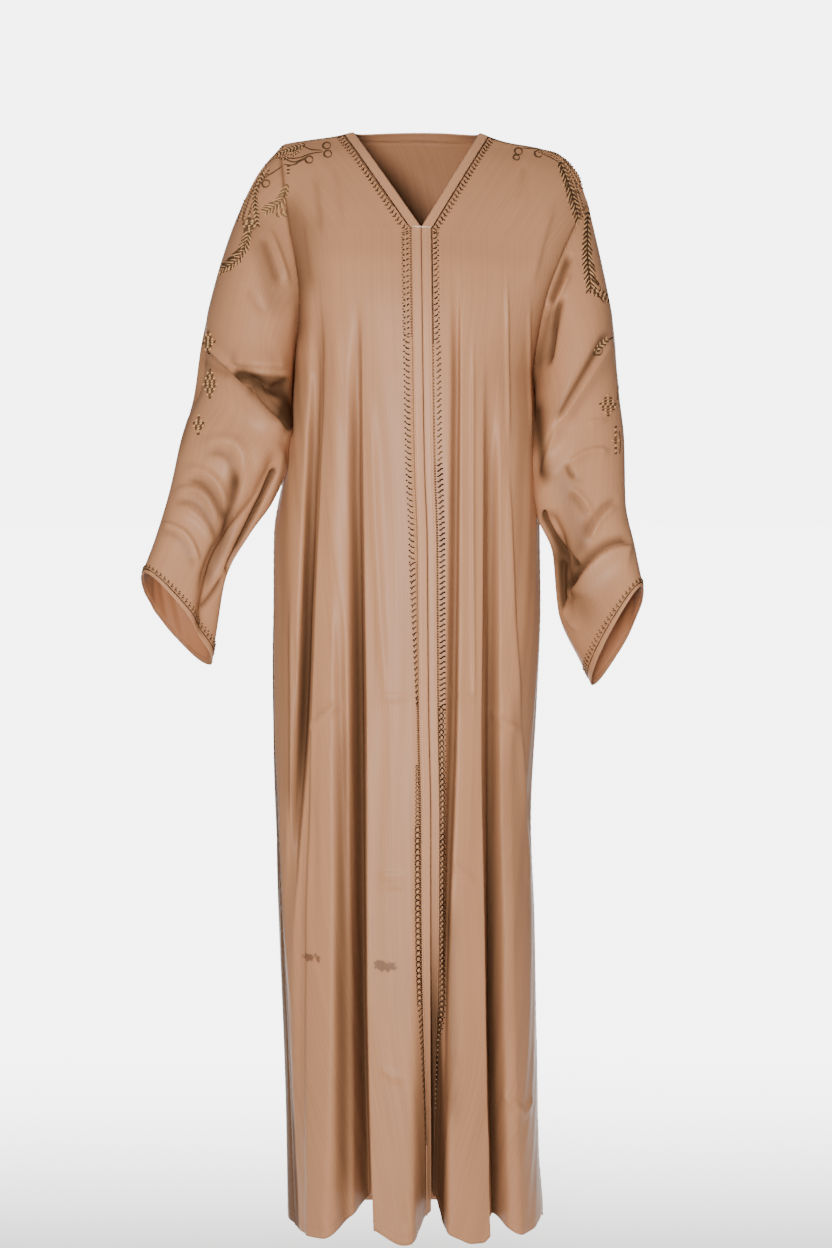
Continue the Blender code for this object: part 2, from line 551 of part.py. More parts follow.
def material(name, finish):
    """A plain material of the finish's colour and roughness."""
    made = bpy.data.materials.new(name)
    made.use_nodes = True
    shader = made.node_tree.nodes["Principled BSDF"]
    shader.inputs["Base Color"].default_value = finish[0]
    shader.inputs["Roughness"].default_value = finish[1]
    shader.inputs["Metallic"].default_value = 0.0
    return made


def seam_columns(grid, seam, beyond):
    """The grid with two columns more: where the piece starts to lie flat beside its seam, and
    its edge. beyond is the next line of points on the other side of the seam.
    """
    near = grid[:, -1]
    direction = unit(unit(near - seam) - unit(beyond - seam))
    flat = np.minimum(SEAM_FLAT, 0.5 * np.linalg.norm(near - seam, axis=-1))[:, None]
    ends = [seam + direction * flat, seam + direction * SEAM_GAP / 2]
    return np.concatenate([grid, ends[0][:, None], ends[1][:, None]], axis=1)


def seam_rows(grid, direction, ends):
    """The grid with its first row moved clear of the seam and a flat row after it. The columns
    at its ends, counted from either side, follow their own edges.
    """
    way = np.broadcast_to(np.array(direction, float), grid[0].shape).copy()
    own = unit(grid[1] - grid[0])
    way[:ends[0]] = own[:ends[0]]
    way[len(way) - ends[1]:] = own[len(way) - ends[1]:]
    trim = np.full((len(way), 1), SEAM_GAP / 2)
    trim[:ends[0]] = trim[len(way) - ends[1]:] = CORNER_GAP
    first = [grid[0] + way * trim, grid[0] + way * SEAM_FLAT]
    return np.concatenate([np.stack(first), grid[1:]], axis=0)


def beside(line_points, towards):
    """A line moved half a seam's gap towards its neighbour."""
    return line_points + unit(towards - line_points) * SEAM_GAP / 2


ROWS = np.arange(TOP_ROWS + SKIRT_ROWS + 1.0)
COLUMNS = np.arange(2 * TOP_ROWS) / (2 * TOP_ROWS)


def last_columns(side):
    """Lines of points beside the armhole and the side seam: of the front and of the back."""
    front_last = front(side, ROWS, front_turns(side, ROWS)[:, -1])
    back_last = back(side, ROWS, back_turns(side, ROWS)[:, -1])
    return front_last, back_last


def front_panel(side, finish):
    """One front, from its band and placket to the armhole and the side seam."""
    grid = front(side, ROWS[:, None], front_turns(side, ROWS))
    band_seam = front(side, ROWS, band_turn(side, ROWS))
    grid = np.concatenate([beside(band_seam, grid[:, 0])[:, None], grid], axis=1)
    beyond = last_columns(side)[1]
    beyond[:TOP_ROWS] = sleeve(side, 1 / SLEEVE_ROWS, COLUMNS[:TOP_ROWS])
    grid = seam_columns(grid, front(side, ROWS, 1.0), beyond)
    grid = seam_rows(grid, (0, -1, 0), (1, 2))
    name = "front_left" if side == LEFT else "front_right"
    return cloth(name, grid, CLOTH, finish, flip=side == RIGHT)


def back_panel(finish):
    """The back, one piece from side seam to side seam."""
    halves = []
    for side in (RIGHT, LEFT):
        grid = back(side, ROWS[:, None], back_turns(side, ROWS))
        beyond = last_columns(side)[0]
        beyond[1:TOP_ROWS] = sleeve(side, 1 / SLEEVE_ROWS, 1 - COLUMNS[1:TOP_ROWS])
        grid = seam_columns(grid, back(side, ROWS, 1.0), beyond)
        under_neck = np.sum(back_turns(side, ROWS[:1]) < SHOULDER_SHARE + SAME)
        halves.append(seam_rows(grid, (0, 1, 0), (under_neck, 2)))
    middle = back(RIGHT, ROWS, 0.0)
    first = [middle[:1] + [[0, 0, -SEAM_GAP / 2]], middle[:1] + [[0, 0, -SEAM_FLAT]]]
    middle = np.concatenate(first + [middle[1:]])[:, None]
    grid = np.concatenate([halves[0][:, ::-1], middle, halves[1]], axis=1)
    return cloth("back", grid, CLOTH, finish, flip=True)


def sleeve_piece(side, finish):
    """One sleeve, a tube from the armhole's loop to the cuff."""
    share = np.arange(1, SLEEVE_ROWS + 1) / SLEEVE_ROWS
    grid = sleeve(side, share[:, None], COLUMNS)
    loop = sleeve(side, 0.0, COLUMNS)
    front_last, back_last = last_columns(side)
    body = np.concatenate([front_last[:TOP_ROWS], front(side, ROWS[TOP_ROWS + 1:TOP_ROWS + 2], 1.0),
                           back_last[TOP_ROWS - 1:0:-1]])
    direction = unit(unit(grid[0] - loop) - unit(body - loop))
    flat = np.minimum(SEAM_FLAT, 0.5 * np.linalg.norm(grid[0] - loop, axis=-1))[:, None]
    corner = np.cos(COLUMNS * 2 * math.pi) ** CORNER_SPAN
    trim = (SEAM_GAP / 2 + (CORNER_GAP - SEAM_GAP / 2) * corner)[:, None]
    rings = [loop + direction * trim, loop + direction * flat]
    grid = np.concatenate([np.stack(rings), grid])
    name = "sleeve_left" if side == LEFT else "sleeve_right"
    return cloth(name, grid, CLOTH, finish, closed=True, flip=side == LEFT)


def moved_in(grid, side, depth):
    """Closed rings moved inwards by a depth, each point along the mitre of its ring's corner."""
    along = np.gradient(grid, axis=0)
    before = unit(np.cross(along, grid - np.roll(grid, 1, axis=1)))
    after = unit(np.cross(along, np.roll(grid, -1, axis=1) - grid))
    mean = before + after
    size = np.maximum(np.sum(mean * mean, axis=-1, keepdims=True), 1.0)
    return grid + mean * side * depth * 2 / size


def cuff_facing(side, finish):
    """The facing inside a cuff, on the straight lines between the sleeve's own rings."""
    rings = np.arange(SLEEVE_ROWS - 3, SLEEVE_ROWS + 1) / SLEEVE_ROWS
    inner = moved_in(sleeve(side, rings[:, None], COLUMNS), side, CLOTH + FACING_CLEAR)
    edge = 1 - FACING_INSET / SLEEVE_LENGTH
    share = np.array([edge - CUFF_FACING / SLEEVE_LENGTH, rings[-2], edge])
    k = np.clip(np.searchsorted(rings, share) - 1, 0, len(rings) - 2)
    part = ((share - rings[k]) / (rings[k + 1] - rings[k]))[:, None, None]
    grid = inner[k] + (inner[k + 1] - inner[k]) * part
    name = "cuff_facing_left" if side == LEFT else "cuff_facing_right"
    return cloth(name, grid, FACING_CLOTH, finish, closed=True, flip=side == LEFT)


def neck_band(finish):
    """The band, from the point of the V over the shoulder, round the nape and back."""
    edges, seams = [], []
    rows = np.arange(round(NECK_ROW * TOP_ROWS), -1.0, -1.0)
    for side in (RIGHT, LEFT):
        under_neck = back_turns(side, ROWS[:1])[0] / SHOULDER_SHARE
        nape = 1 - np.append(under_neck[under_neck < 1 - SAME][::-1], 0.0)
        edge, seam = front_edge(side, rows), front(side, rows, band_turn(side, rows))
        edge[0, 0] += side * SEAM_GAP / 2
        edge[0, 2] += SEAM_GAP / 2
        seam[0, 2] += SEAM_GAP / 2
        back_edge, back_seam = back_neck(side, nape)
        edges.append(np.concatenate([edge, back_edge]))
        seams.append(np.concatenate([seam, back_seam]))
    edge = np.concatenate([edges[0], edges[1][-2::-1]])
    seam = np.concatenate([seams[0], seams[1][-2::-1]])
    grid = np.stack([edge, beside(seam, edge)], axis=1)
    return cloth("neck_band", grid, BAND_CLOTH, finish)


def placket(side, finish):
    """The strip down one front edge, from the point of the V to the hem."""
    rows = ROWS[round(NECK_ROW * TOP_ROWS):]
    edge, seam = front(side, rows, 0.0), front(side, rows, band_turn(side, rows))
    edge[:, 0] += side * SEAM_GAP / 2
    edge[0, 2] -= SEAM_GAP / 2
    seam[0, 2] -= SEAM_GAP / 2
    grid = np.stack([edge, beside(seam, edge)], axis=1)
    name = "placket_left" if side == LEFT else "placket_right"
    return cloth(name, grid, BAND_CLOTH, finish, flip=side == RIGHT)


for old in list(bpy.data.objects):
    bpy.data.objects.remove(old, do_unlink=True)
garment = bpy.data.collections.new("two_piece_abaya")
bpy.context.scene.collection.children.link(garment)

satin = material("Camel satin", SATIN)
band_satin = material("Band satin", BAND_SATIN)
facing_satin = material("Cuff facing", FACING_SATIN)
neck_band(band_satin)
back_panel(satin)
for side in (RIGHT, LEFT):
    front_panel(side, satin)
    placket(side, band_satin)
    sleeve_piece(side, satin)
    cuff_facing(side, facing_satin)
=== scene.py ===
"""Full-length satin abaya: the cloth, its folds and its thread work, in metres, +Z up.

The origin is on the shoulder line in the middle of the neck, and the front faces -Y. Right and
left are the wearer's. Each panel is a surface of two parameters, worked out in the same way as
the frame's solids, with finer folds set along its normals.
"""

from collections import namedtuple
import functools
import math

import bpy
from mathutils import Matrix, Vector
import numpy as np


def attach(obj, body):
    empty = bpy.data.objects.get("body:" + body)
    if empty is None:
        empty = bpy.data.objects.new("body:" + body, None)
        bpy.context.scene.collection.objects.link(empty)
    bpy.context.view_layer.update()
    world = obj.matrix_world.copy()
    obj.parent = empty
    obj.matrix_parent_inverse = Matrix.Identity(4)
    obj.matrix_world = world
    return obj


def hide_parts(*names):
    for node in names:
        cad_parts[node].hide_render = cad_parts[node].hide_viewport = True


bl_info = {
    "name": "Banded V-neck abaya",
    "version": (1, 0, 0),
    "blender": (4, 5, 0),
    "location": "View3D > Sidebar > Abaya",
    "description": "Builds a worn satin abaya with draped sleeves and thread work",
    "category": "Add Mesh",
}

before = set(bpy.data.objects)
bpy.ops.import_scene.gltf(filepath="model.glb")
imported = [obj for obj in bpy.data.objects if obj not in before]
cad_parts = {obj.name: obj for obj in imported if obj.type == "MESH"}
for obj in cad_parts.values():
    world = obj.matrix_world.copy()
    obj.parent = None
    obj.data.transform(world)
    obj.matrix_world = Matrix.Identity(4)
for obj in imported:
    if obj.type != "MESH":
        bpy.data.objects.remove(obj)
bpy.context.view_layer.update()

# The cut, as in the frame
BAND = 0.0125  # width of the neck band and of each placket
UNDERARM = 0.320  # drop from the shoulder line to the underarm
LENGTH = 1.433  # drop from the shoulder line to the front hem
TRAIN = 0.022  # how much lower the back hem hangs
HEM_LIFT = 0.36  # rise of the hem for each metre that the cloth lies back in a fold
NECK_DEPTH = 0.134  # drop to the point of the V
NAPE = (0.0, 0.070, 0.003)  # middle of the back neck's free edge
NAPE_SLOPE = (0.0, 0.36, -0.93)  # way down the band at the nape
NECK_ROW = 5 / 12  # share of the armhole rows that the V neck takes
SHOULDER_SHARE = 0.46  # share of the back panel's columns that lie under its neckline
SQUARE = 0.86  # exponent of the body's rounded cross-section
EDGE_EASE = 3  # exponent by which the shape of a panel's edge fades away from it
BACK_ROUND = 0.8  # exponent of the back's curve from the shoulders down
FOLD_FADE = 0.16  # drop over which a fold grows from nothing
SEAM_FADE = 0.08  # share of a row over which folds die out beside the side seam
SLEEVE_SQUARE = 0.90  # exponent of the sleeve's rounded cross-section
SLEEVE_LENGTH = 0.50  # mean of the sleeve's upper and under side
SLEEVE_GIRTH = 0.40  # distance round a sleeve
CAP_EASE = 0.30  # share of the sleeve over which the armhole's shape eases into rings
CUFF_FACING = 0.025  # depth of the facing inside each cuff
RIGHT, LEFT = -1, 1
SIDES = {RIGHT: "right", LEFT: "left"}
TOP_ROWS = 12  # rows from the shoulder to the underarm, of any fineness between
SKIRT_ROWS = 12  # rows from the underarm to the hem
BAND_REACH = 0.6  # share of a row in which the band's seam is looked for
BAND_STEPS = 240  # steps of that search
SLANT_STEPS = 12  # steps over which the row's direction is taken there
EDGE_STEP = 0.01  # rows over which the free edge's direction is taken

# Fineness of the visible surfaces
TOP_FINE, SKIRT_FINE, FRONT_FINE = 84, 210, 150
BACK_TOP_FINE, BACK_SKIRT_FINE, BACK_FINE = 56, 140, 72
SLEEVE_FINE = 220
ROUND_FRONT, ROUND_BACK = 92, 52  # columns of a sleeve's front half and of its back
NECK_COLUMNS = 26  # columns of half the back that lie under its neckline
CROWD, CROWD_WIDE = 1.8, 0.022  # how much closer columns lie by a valley, and how near it
ARC_STEPS = 420  # steps along a row from which its columns are spaced evenly
FOLD_STEPS = 12  # straight steps of a finer fold's line
FOLD_REACH = 2.6  # its widths beyond which it is left out
SEAM_CALM = 0.010  # distance from a seam over which the finer folds rise
PUCKER, PUCKER_WIDE = 0.0007, 0.0035  # height of the roll beside a seam and how far it lies off
PUCKER_WAVE, PUCKER_PITCH = 0.35, 0.013  # how much the roll is scalloped and at what pitch
WAVE_START, WAVE_FADE = 0.22, 0.25  # drops over which the low waves rise
HEM_CURVE = 0.9  # drop from which the hem's own curve fades in
RIGHT_TURN = 0.60  # share of its depth to which the right edge is turned back
FRONT_ONLY = 0.35  # how squarely a sleeve faces the front before its folds are full
FACING_FRONT = 0.30  # how squarely cloth faces the front to take needlework
SIGHT_REACH = 0.003  # distance past that cloth at which a stitch is left out
SIGHT_LOW = -0.47  # height above which the needlework lies
SIGHT_BATCH = 400  # places that are looked up at a time
SLANT_COLUMNS = 6  # columns over which a row's slant to its first column is taken
BACK_SMOOTHINGS, SMOOTH_ROWS = 24, 2  # times the back is smoothed, and rows over which that rises
SLEEVE_BOLD = 1.05  # how much the sleeves' finer folds stand out
SWELL_MEAN, SWELL_RANGE = 0.6, 0.4  # height of the low waves, as shares of the whole

# The bands and the threads
BAND_CROWN, PIPE_CROWN = 0.0009, 0.0010  # how far a band and its piping stand proud
PIPE_SHARE = 0.74  # share of a band's width at which its piping starts
CROWN_POWER = 10  # exponent of the band's flat crown
PLACKET_PARTING = 0.0002  # how far each placket's edge stands off the middle
FACING_CLEAR = 0.0005  # clearance between a facing and its cuff
BAND_COLUMNS, V_FINE, NAPE_FINE, PLACKET_FINE = 14, 70, 44, 330
THREAD_SIDES, THREAD_FLAT, THREAD_LIFT = 5, 0.75, 0.45
TIP = 0.35  # radius of a stroke's ends, as a share of its largest
STITCH_POINTS, BEAD_POINTS, RING_POINTS = 5, 4, 12
VINE_STEP, VINE_LEAST = 0.0022, 8  # distance between the points of a vine, and their least number
CURVE_FINE = 8  # straight steps of a curve for each point that is laid along it
LENGTH_DRIFT, ANGLE_DRIFT, SHADE_DRIFT = 0.10, 0.08, 0.04  # unevenness of handwork
LENGTH_BEAT, ANGLE_BEAT, SHADE_BEAT = 7.3, 4.1, 5.7  # how fast it comes and goes
LEAF_THICK, FILL_THICK, RING_THICK = 1.5, 1.2, 1.45  # in thicknesses of the thread
SECOND_THICK, SECOND_THREAD = 0.80, 0.80  # every second stitch of a leaf, and its shade
STITCH_BEND = 0.12  # how much a leaf's stitches curve onwards
FILL_LEAN = 0.5  # angle of a filling's stitches from its lines
BEAD_LENGTH, BEAD_THICK = 0.0024, 2.8
BEAD_WAY, BEAD_EDGE = (0.35, -0.94), 1.15  # how beads lie, and the size of their diamond
HEM_DEPTH, HEM_PITCH, HEM_STITCH = 0.013, 0.0034, 0.0024
TACK_RADIUS, TACK_LIFT, TACK_BOW, TACK_POINTS = 0.0004, 0.0016, 0.0006, 12
WHITE = (0.80, 0.80, 0.78)  # colour of the bar tack

# Shade painted into the cloth's colour in grooves, dents, turned edges, along seams and in the strip
# by the right side seam, from 0 on open cloth to 1
GROOVE_SHADE = 0.027  # depth of a groove at which its shade is full
TURN_SHADE = 0.030  # how far an edge is turned back at which its shade is full
TURNED = {RIGHT: 0.12, LEFT: 0.85}  # how dark that shade is on each side
DENT_SHADE, DENT_DARK = 0.0080, 0.85  # depth at which a dent is shaded, and how much
SEAM_SHADE, SEAM_DARK = 0.008, 0.42  # distance from a seam at which its shade ends, and how dark
STRIP_SOFT, STRIP_DARK = 0.005, 0.76  # softness of the shade along the right side seam
STRIP_BACK, STRIP_START, STRIP_FADE = 0.032, 0.50, 0.07  # its width on the back, and its top
# The colour of full painted shade, the darkest that shade is painted into the cloth
PAINTED_SHADE_TONE = 0.14  # tone at the bottom of a deep groove, as a share of the cloth's
# Where shade is painted, the gloss fades with it
GLOSS, GLOSS_END = 0.12, 0.80  # the open cloth's gloss, and the hollow at which it is gone

# The satin's weave, in threads for each metre of cloth, and its stains
WARP_FINE, WARP_LONG = 300, 5
CLOUDS, CLOUD_SHARE = 5.5, 0.5  # clouds for each metre, and how far they show
STREAK_DARK, CLOUD_PALE = 0.66, 1.12  # tones of streaks and clouds, as shares of the cloth's
WARP_BUMP, WARP_DEPTH = 0.35, 0.0004
SPECKS, SPECK_DRIFT = 170, 1.5  # pitch of a stain's specks for each metre, and their reach
STAIN_FULL, STAIN_END = 1.25, 1.45  # where a stain's edge begins and ends, in its reaches
REVERSE_ROUGH, REVERSE_SHEEN = 0.62, 0.1  # the finish of the cloth's inside
FACING_ROUGH, SILK_ROUGH, SEWING_ROUGH = 0.6, 0.6, 0.5  # roughness of facings and threads
SHEEN_ROUGH = 0.4

# The stage
FLOOR_Z, FLOOR_HALF = -1.50, 40
FLOOR_COLOUR, FLOOR_ROUGH = (0.86, 0.86, 0.85), 0.7
# The floor's glow is painted light that stands in for a lit backdrop
FLOOR_GLOW, GLOW_NEAR, GLOW_FAR = 5.5, -0.6, 1.5  # light of the far floor, and where it rises
GLOW_WIDE, GLOW_NARROW = 0.21, 0.15  # slants to its sides over which it dies out
GLOW_START = -4.0  # y from which those slants are taken
WORLD_LOW, WORLD_TOP, WORLD_HIGH = 0.24, 0.34, 5.5  # light from below, above and behind
WORLD_SPOT = (0.93, 0.983)  # cosines between which it rises behind
WORLD_HEIGHTS = (-0.3, 0.8)  # sines of the heights of the light from below and above
CAMERA_PLACE, CAMERA_TILT = (-0.0066, -4.0, -0.42), 3.26
CAMERA_LENS, CAMERA_SENSOR = 87.55, 36
LIGHTS = [
    ("Key", (-0.6, -4.6, -0.50), (0, 0, -0.48), 1.2, 37, 56, (1, 0.98, 0.95)),
    ("Fill", (3.0, -3.2, 0.3), (0, 0, -0.6), 1.4, 30, 180, (1, 0.98, 0.96)),
]


def rows_of(kind, values):
    """One of this kind for each row of values."""
    return [kind(*row) for row in values]


def both(kind, right, left):
    """The rows of the right side and those of the left."""
    return {RIGHT: rows_of(kind, right), LEFT: rows_of(kind, left)}


def angles(count):
    """So many angles at equal steps round a circle."""
    return np.arange(count) / count * 2 * math.pi


# Cross-sections of the body, one row for each height: drop below the shoulder line, x of the
# front opening, x of the two sides, y of the front and of the back, y of the two side seams
Level = namedtuple("Level", "drop centre right left front back right_seam left_seam")
LEVELS = rows_of(Level, [
    (0.32, 0.0022, -0.166, 0.146, -0.14, 0.112, 0, 0),
    (0.39, 0.0032, -0.173, 0.153, -0.141, 0.109, 0, 0),
    (0.45, 0.0045, -0.18, 0.155, -0.142, 0.107, 0, 0),
    (0.53, 0.0075, -0.193, 0.156, -0.143, 0.109, -0.006, 0),
    (0.62, 0.0083, -0.194, 0.157, -0.145, 0.115, -0.016, 0),
    (0.75, 0.0095, -0.195, 0.152, -0.149, 0.124, -0.028, -0.004),
    (0.9, 0.0122, -0.192, 0.145, -0.154, 0.132, -0.04, -0.008),
    (1.05, 0.0122, -0.188, 0.15, -0.159, 0.138, -0.05, -0.012),
    (1.2, 0.0126, -0.183, 0.153, -0.164, 0.144, -0.058, -0.016),
    (1.34, 0.0135, -0.179, 0.156, -0.168, 0.149, -0.064, -0.02),
    (1.46, 0.013, -0.176, 0.164, -0.171, 0.153, -0.068, -0.022),
])

# Depth of the free front edge: share 0 to 1 runs down the V, 1 to 2 from its point to the
# underarm's height. The middle of the back the same way, from the band's seam to that height.
Edge = namedtuple("Edge", "share y")
FRONT_EDGE = rows_of(Edge, [
    (0, 0), (0.2, -0.03), (0.43, -0.056), (0.74, -0.084), (1, -0.103), (1.25, -0.124), (1.57, -0.135),
    (2, -0.14),
])
BACK_EDGE = rows_of(Edge, [
    (0, 0.0745), (0.15, 0.093), (0.35, 0.108), (0.62, 0.116), (1, 0.112),
])

# Points of the shoulder seam and the armhole, from the neck outwards and from the top down
Point = namedtuple("Point", "share x y z")
SHOULDER = both(Point, [
    (0, -0.0875, 0, -0.004), (0.28, -0.1133, 0, -0.009), (0.55, -0.139, 0, -0.0125),
    (0.83, -0.165, 0, -0.0163), (1, -0.1805, 0, -0.02),
], [
    (0, 0.076, 0, -0.005), (0.25, 0.1117, 0, -0.0163), (0.55, 0.1545, 0, -0.0242),
    (0.78, 0.1874, 0, -0.037), (0.9, 0.2045, 0, -0.058), (1, 0.2188, 0, -0.098),
])
ARMHOLE_FRONT = both(Point, [
    (0, -0.1805, 0, -0.02), (0.08, -0.182, -0.018, -0.034), (0.2, -0.1775, -0.045, -0.075),
    (0.38, -0.17, -0.06, -0.128), (0.55, -0.161, -0.066, -0.177), (0.68, -0.157, -0.062, -0.213),
    (0.8, -0.158, -0.048, -0.25), (0.93, -0.164, -0.018, -0.296), (1, -0.166, 0, -0.32),
], [
    (0, 0.2188, 0, -0.098), (0.1, 0.2113, -0.016, -0.106), (0.2, 0.2028, -0.03, -0.121),
    (0.33, 0.189, -0.045, -0.148), (0.47, 0.1755, -0.058, -0.18), (0.62, 0.1638, -0.062, -0.212),
    (0.77, 0.1545, -0.05, -0.2507), (0.91, 0.148, -0.022, -0.295), (1, 0.146, 0, -0.32),
])
ARMHOLE_BACK = both(Point, [
    (0, -0.1805, 0, -0.02), (0.08, -0.1815, 0.018, -0.033), (0.25, -0.178, 0.043, -0.085),
    (0.5, -0.168, 0.06, -0.165), (0.75, -0.163, 0.045, -0.245), (1, -0.166, 0, -0.32),
], [
    (0, 0.2188, 0, -0.098), (0.1, 0.212, 0.018, -0.108), (0.25, 0.201, 0.041, -0.138),
    (0.5, 0.176, 0.06, -0.195), (0.75, 0.155, 0.045, -0.26), (1, 0.146, 0, -0.32),
])

# Folds of the fronts and the back. The tuples hold values at four heights, where one number stands
# for four equal ones: x is the line of the valley, depth how far it lies behind the ridges, inner
# and outer how far its sides reach towards the middle and towards the side seam. floor is half
# the width of its flat bottom.
FOLD_DROPS = (0.350, 0.750, 1.100, 1.433)
Fold = namedtuple("Fold", "start floor x depth inner outer")
FOLDS_FRONT = both(Fold, [
    (0.2, 0.002, (-0.0815, -0.0765, -0.075, -0.068), (0.003, 0.016, 0.048, 0.092), 0.007,
     (0.03, 0.03, 0.04, 0.06)),
    (0.17, 0.002, (-0.134, -0.148, -0.156, -0.157), (0.004, 0.007, 0.004, 0.003), 0.009, 0.011),
], [
    (0.24, 0.002, (0.087, 0.086, 0.089, 0.096), (0.002, 0.015, 0.044, 0.072),
     (0.009, 0.009, 0.007, 0.007), (0.032, 0.032, 0.032, 0.036)),
])
FOLDS_BACK = both(Fold, [
    (0.24, 0.004, (-0.03, -0.033, -0.036, -0.04), (0.003, 0.014, 0.03, 0.046), 0.018, 0.018),
    (0.26, 0.004, (-0.09, -0.098, -0.102, -0.105), (0.003, 0.012, 0.03, 0.048), 0.016, 0.02),
], [
    (0.26, 0.004, (0.035, 0.038, 0.04, 0.042), (0.003, 0.012, 0.028, 0.044), 0.018, 0.018),
    (0.24, 0.004, (0.086, 0.092, 0.096, 0.1), (0.003, 0.013, 0.03, 0.046), 0.02, 0.016),
])
# The two front edges turn back into the skirt where the opening parts: how far, and how wide
# the turned stretch is on each side
Turn = namedtuple("Turn", "drop depth right left")
OPENING = rows_of(Turn, [
    (0.25, 0, 0.024, 0.042), (0.4, 0.003, 0.024, 0.041), (0.85, 0.006, 0.024, 0.028),
    (1, 0.011, 0.024, 0.027), (1.1, 0.022, 0.025, 0.027), (1.2, 0.048, 0.025, 0.027),
    (1.3, 0.082, 0.026, 0.025), (1.46, 0.128, 0.028, 0.022),
])

# Rings of each sleeve: share of its length, the point on the outer side of the arm, the point
# on its underside, how deep the ring is to the front and to the back, how much its front is
# lifted and its back dropped, and how much it narrows towards the underside
Ring = namedtuple("Ring", "share ox oy oz ix iy iz front back tilt narrow")
SLEEVES = both(Ring, [
    (0, -0.1805, 0, -0.02, -0.166, 0, -0.32, 0.062, 0.06, 0, 0),
    (0.125, -0.212, -0.002, -0.056, -0.1685, -0.012, -0.342, 0.074, 0.066, 0, 0.05),
    (0.25, -0.243, -0.004, -0.12, -0.168, -0.032, -0.363, 0.078, 0.066, 0, 0.1),
    (0.375, -0.268, -0.007, -0.195, -0.1665, -0.046, -0.384, 0.078, 0.062, 0, 0.12),
    (0.5, -0.288, -0.012, -0.28, -0.167, -0.054, -0.408, 0.068, 0.056, 0, 0.15),
    (0.6, -0.298, -0.02, -0.35, -0.172, -0.056, -0.44, 0.058, 0.052, 0.002, 0.2),
    (0.7, -0.314, -0.03, -0.408, -0.1915, -0.052, -0.484, 0.054, 0.05, 0.004, 0.25),
    (0.8, -0.327, -0.042, -0.47, -0.224, -0.048, -0.53, 0.052, 0.05, 0.006, 0.3),
    (0.9, -0.345, -0.056, -0.534, -0.253, -0.054, -0.582, 0.05, 0.05, 0.014, 0.3),
    (1, -0.363, -0.07, -0.588, -0.271, -0.068, -0.69, 0.048, 0.048, 0.034, 0.2),
], [
    (0, 0.2188, 0, -0.098, 0.146, 0, -0.32, 0.062, 0.06, 0, 0),
    (0.12, 0.23, -0.002, -0.144, 0.149, -0.002, -0.345, 0.068, 0.064, 0, 0.05),
    (0.25, 0.243, -0.004, -0.203, 0.147, -0.024, -0.388, 0.07, 0.064, 0, 0.1),
    (0.4, 0.254, -0.007, -0.268, 0.1425, -0.046, -0.435, 0.068, 0.062, 0, 0.15),
    (0.52, 0.259, -0.012, -0.34, 0.145, -0.052, -0.47, 0.062, 0.058, 0, 0.18),
    (0.65, 0.266, -0.022, -0.41, 0.152, -0.052, -0.508, 0.056, 0.054, 0.003, 0.22),
    (0.78, 0.267, -0.034, -0.484, 0.171, -0.046, -0.552, 0.052, 0.052, 0.006, 0.28),
    (0.9, 0.279, -0.048, -0.548, 0.179, -0.04, -0.628, 0.05, 0.05, 0.014, 0.3),
    (1, 0.289, -0.066, -0.605, 0.221, -0.058, -0.718, 0.048, 0.046, 0.034, 0.2),
])
# Folds of the sleeves: where each line starts and ends along the sleeve and round it, in turns
# from the outer side by way of the front, how deep it is and how far it reaches to each side
Crease = namedtuple("Crease", "share_a turn_a share_b turn_b depth reach")
CREASES = both(Crease, [
    (0.545, 0.03, 0.535, 0.44, 0.014, 0.055), (0.64, 0.42, 0.96, 0.4, 0.016, 0.04),
], [
    (0.42, 0.08, 0.47, 0.4, 0.008, 0.05), (0.7, 0.42, 0.88, 0.41, 0.013, 0.034),
])

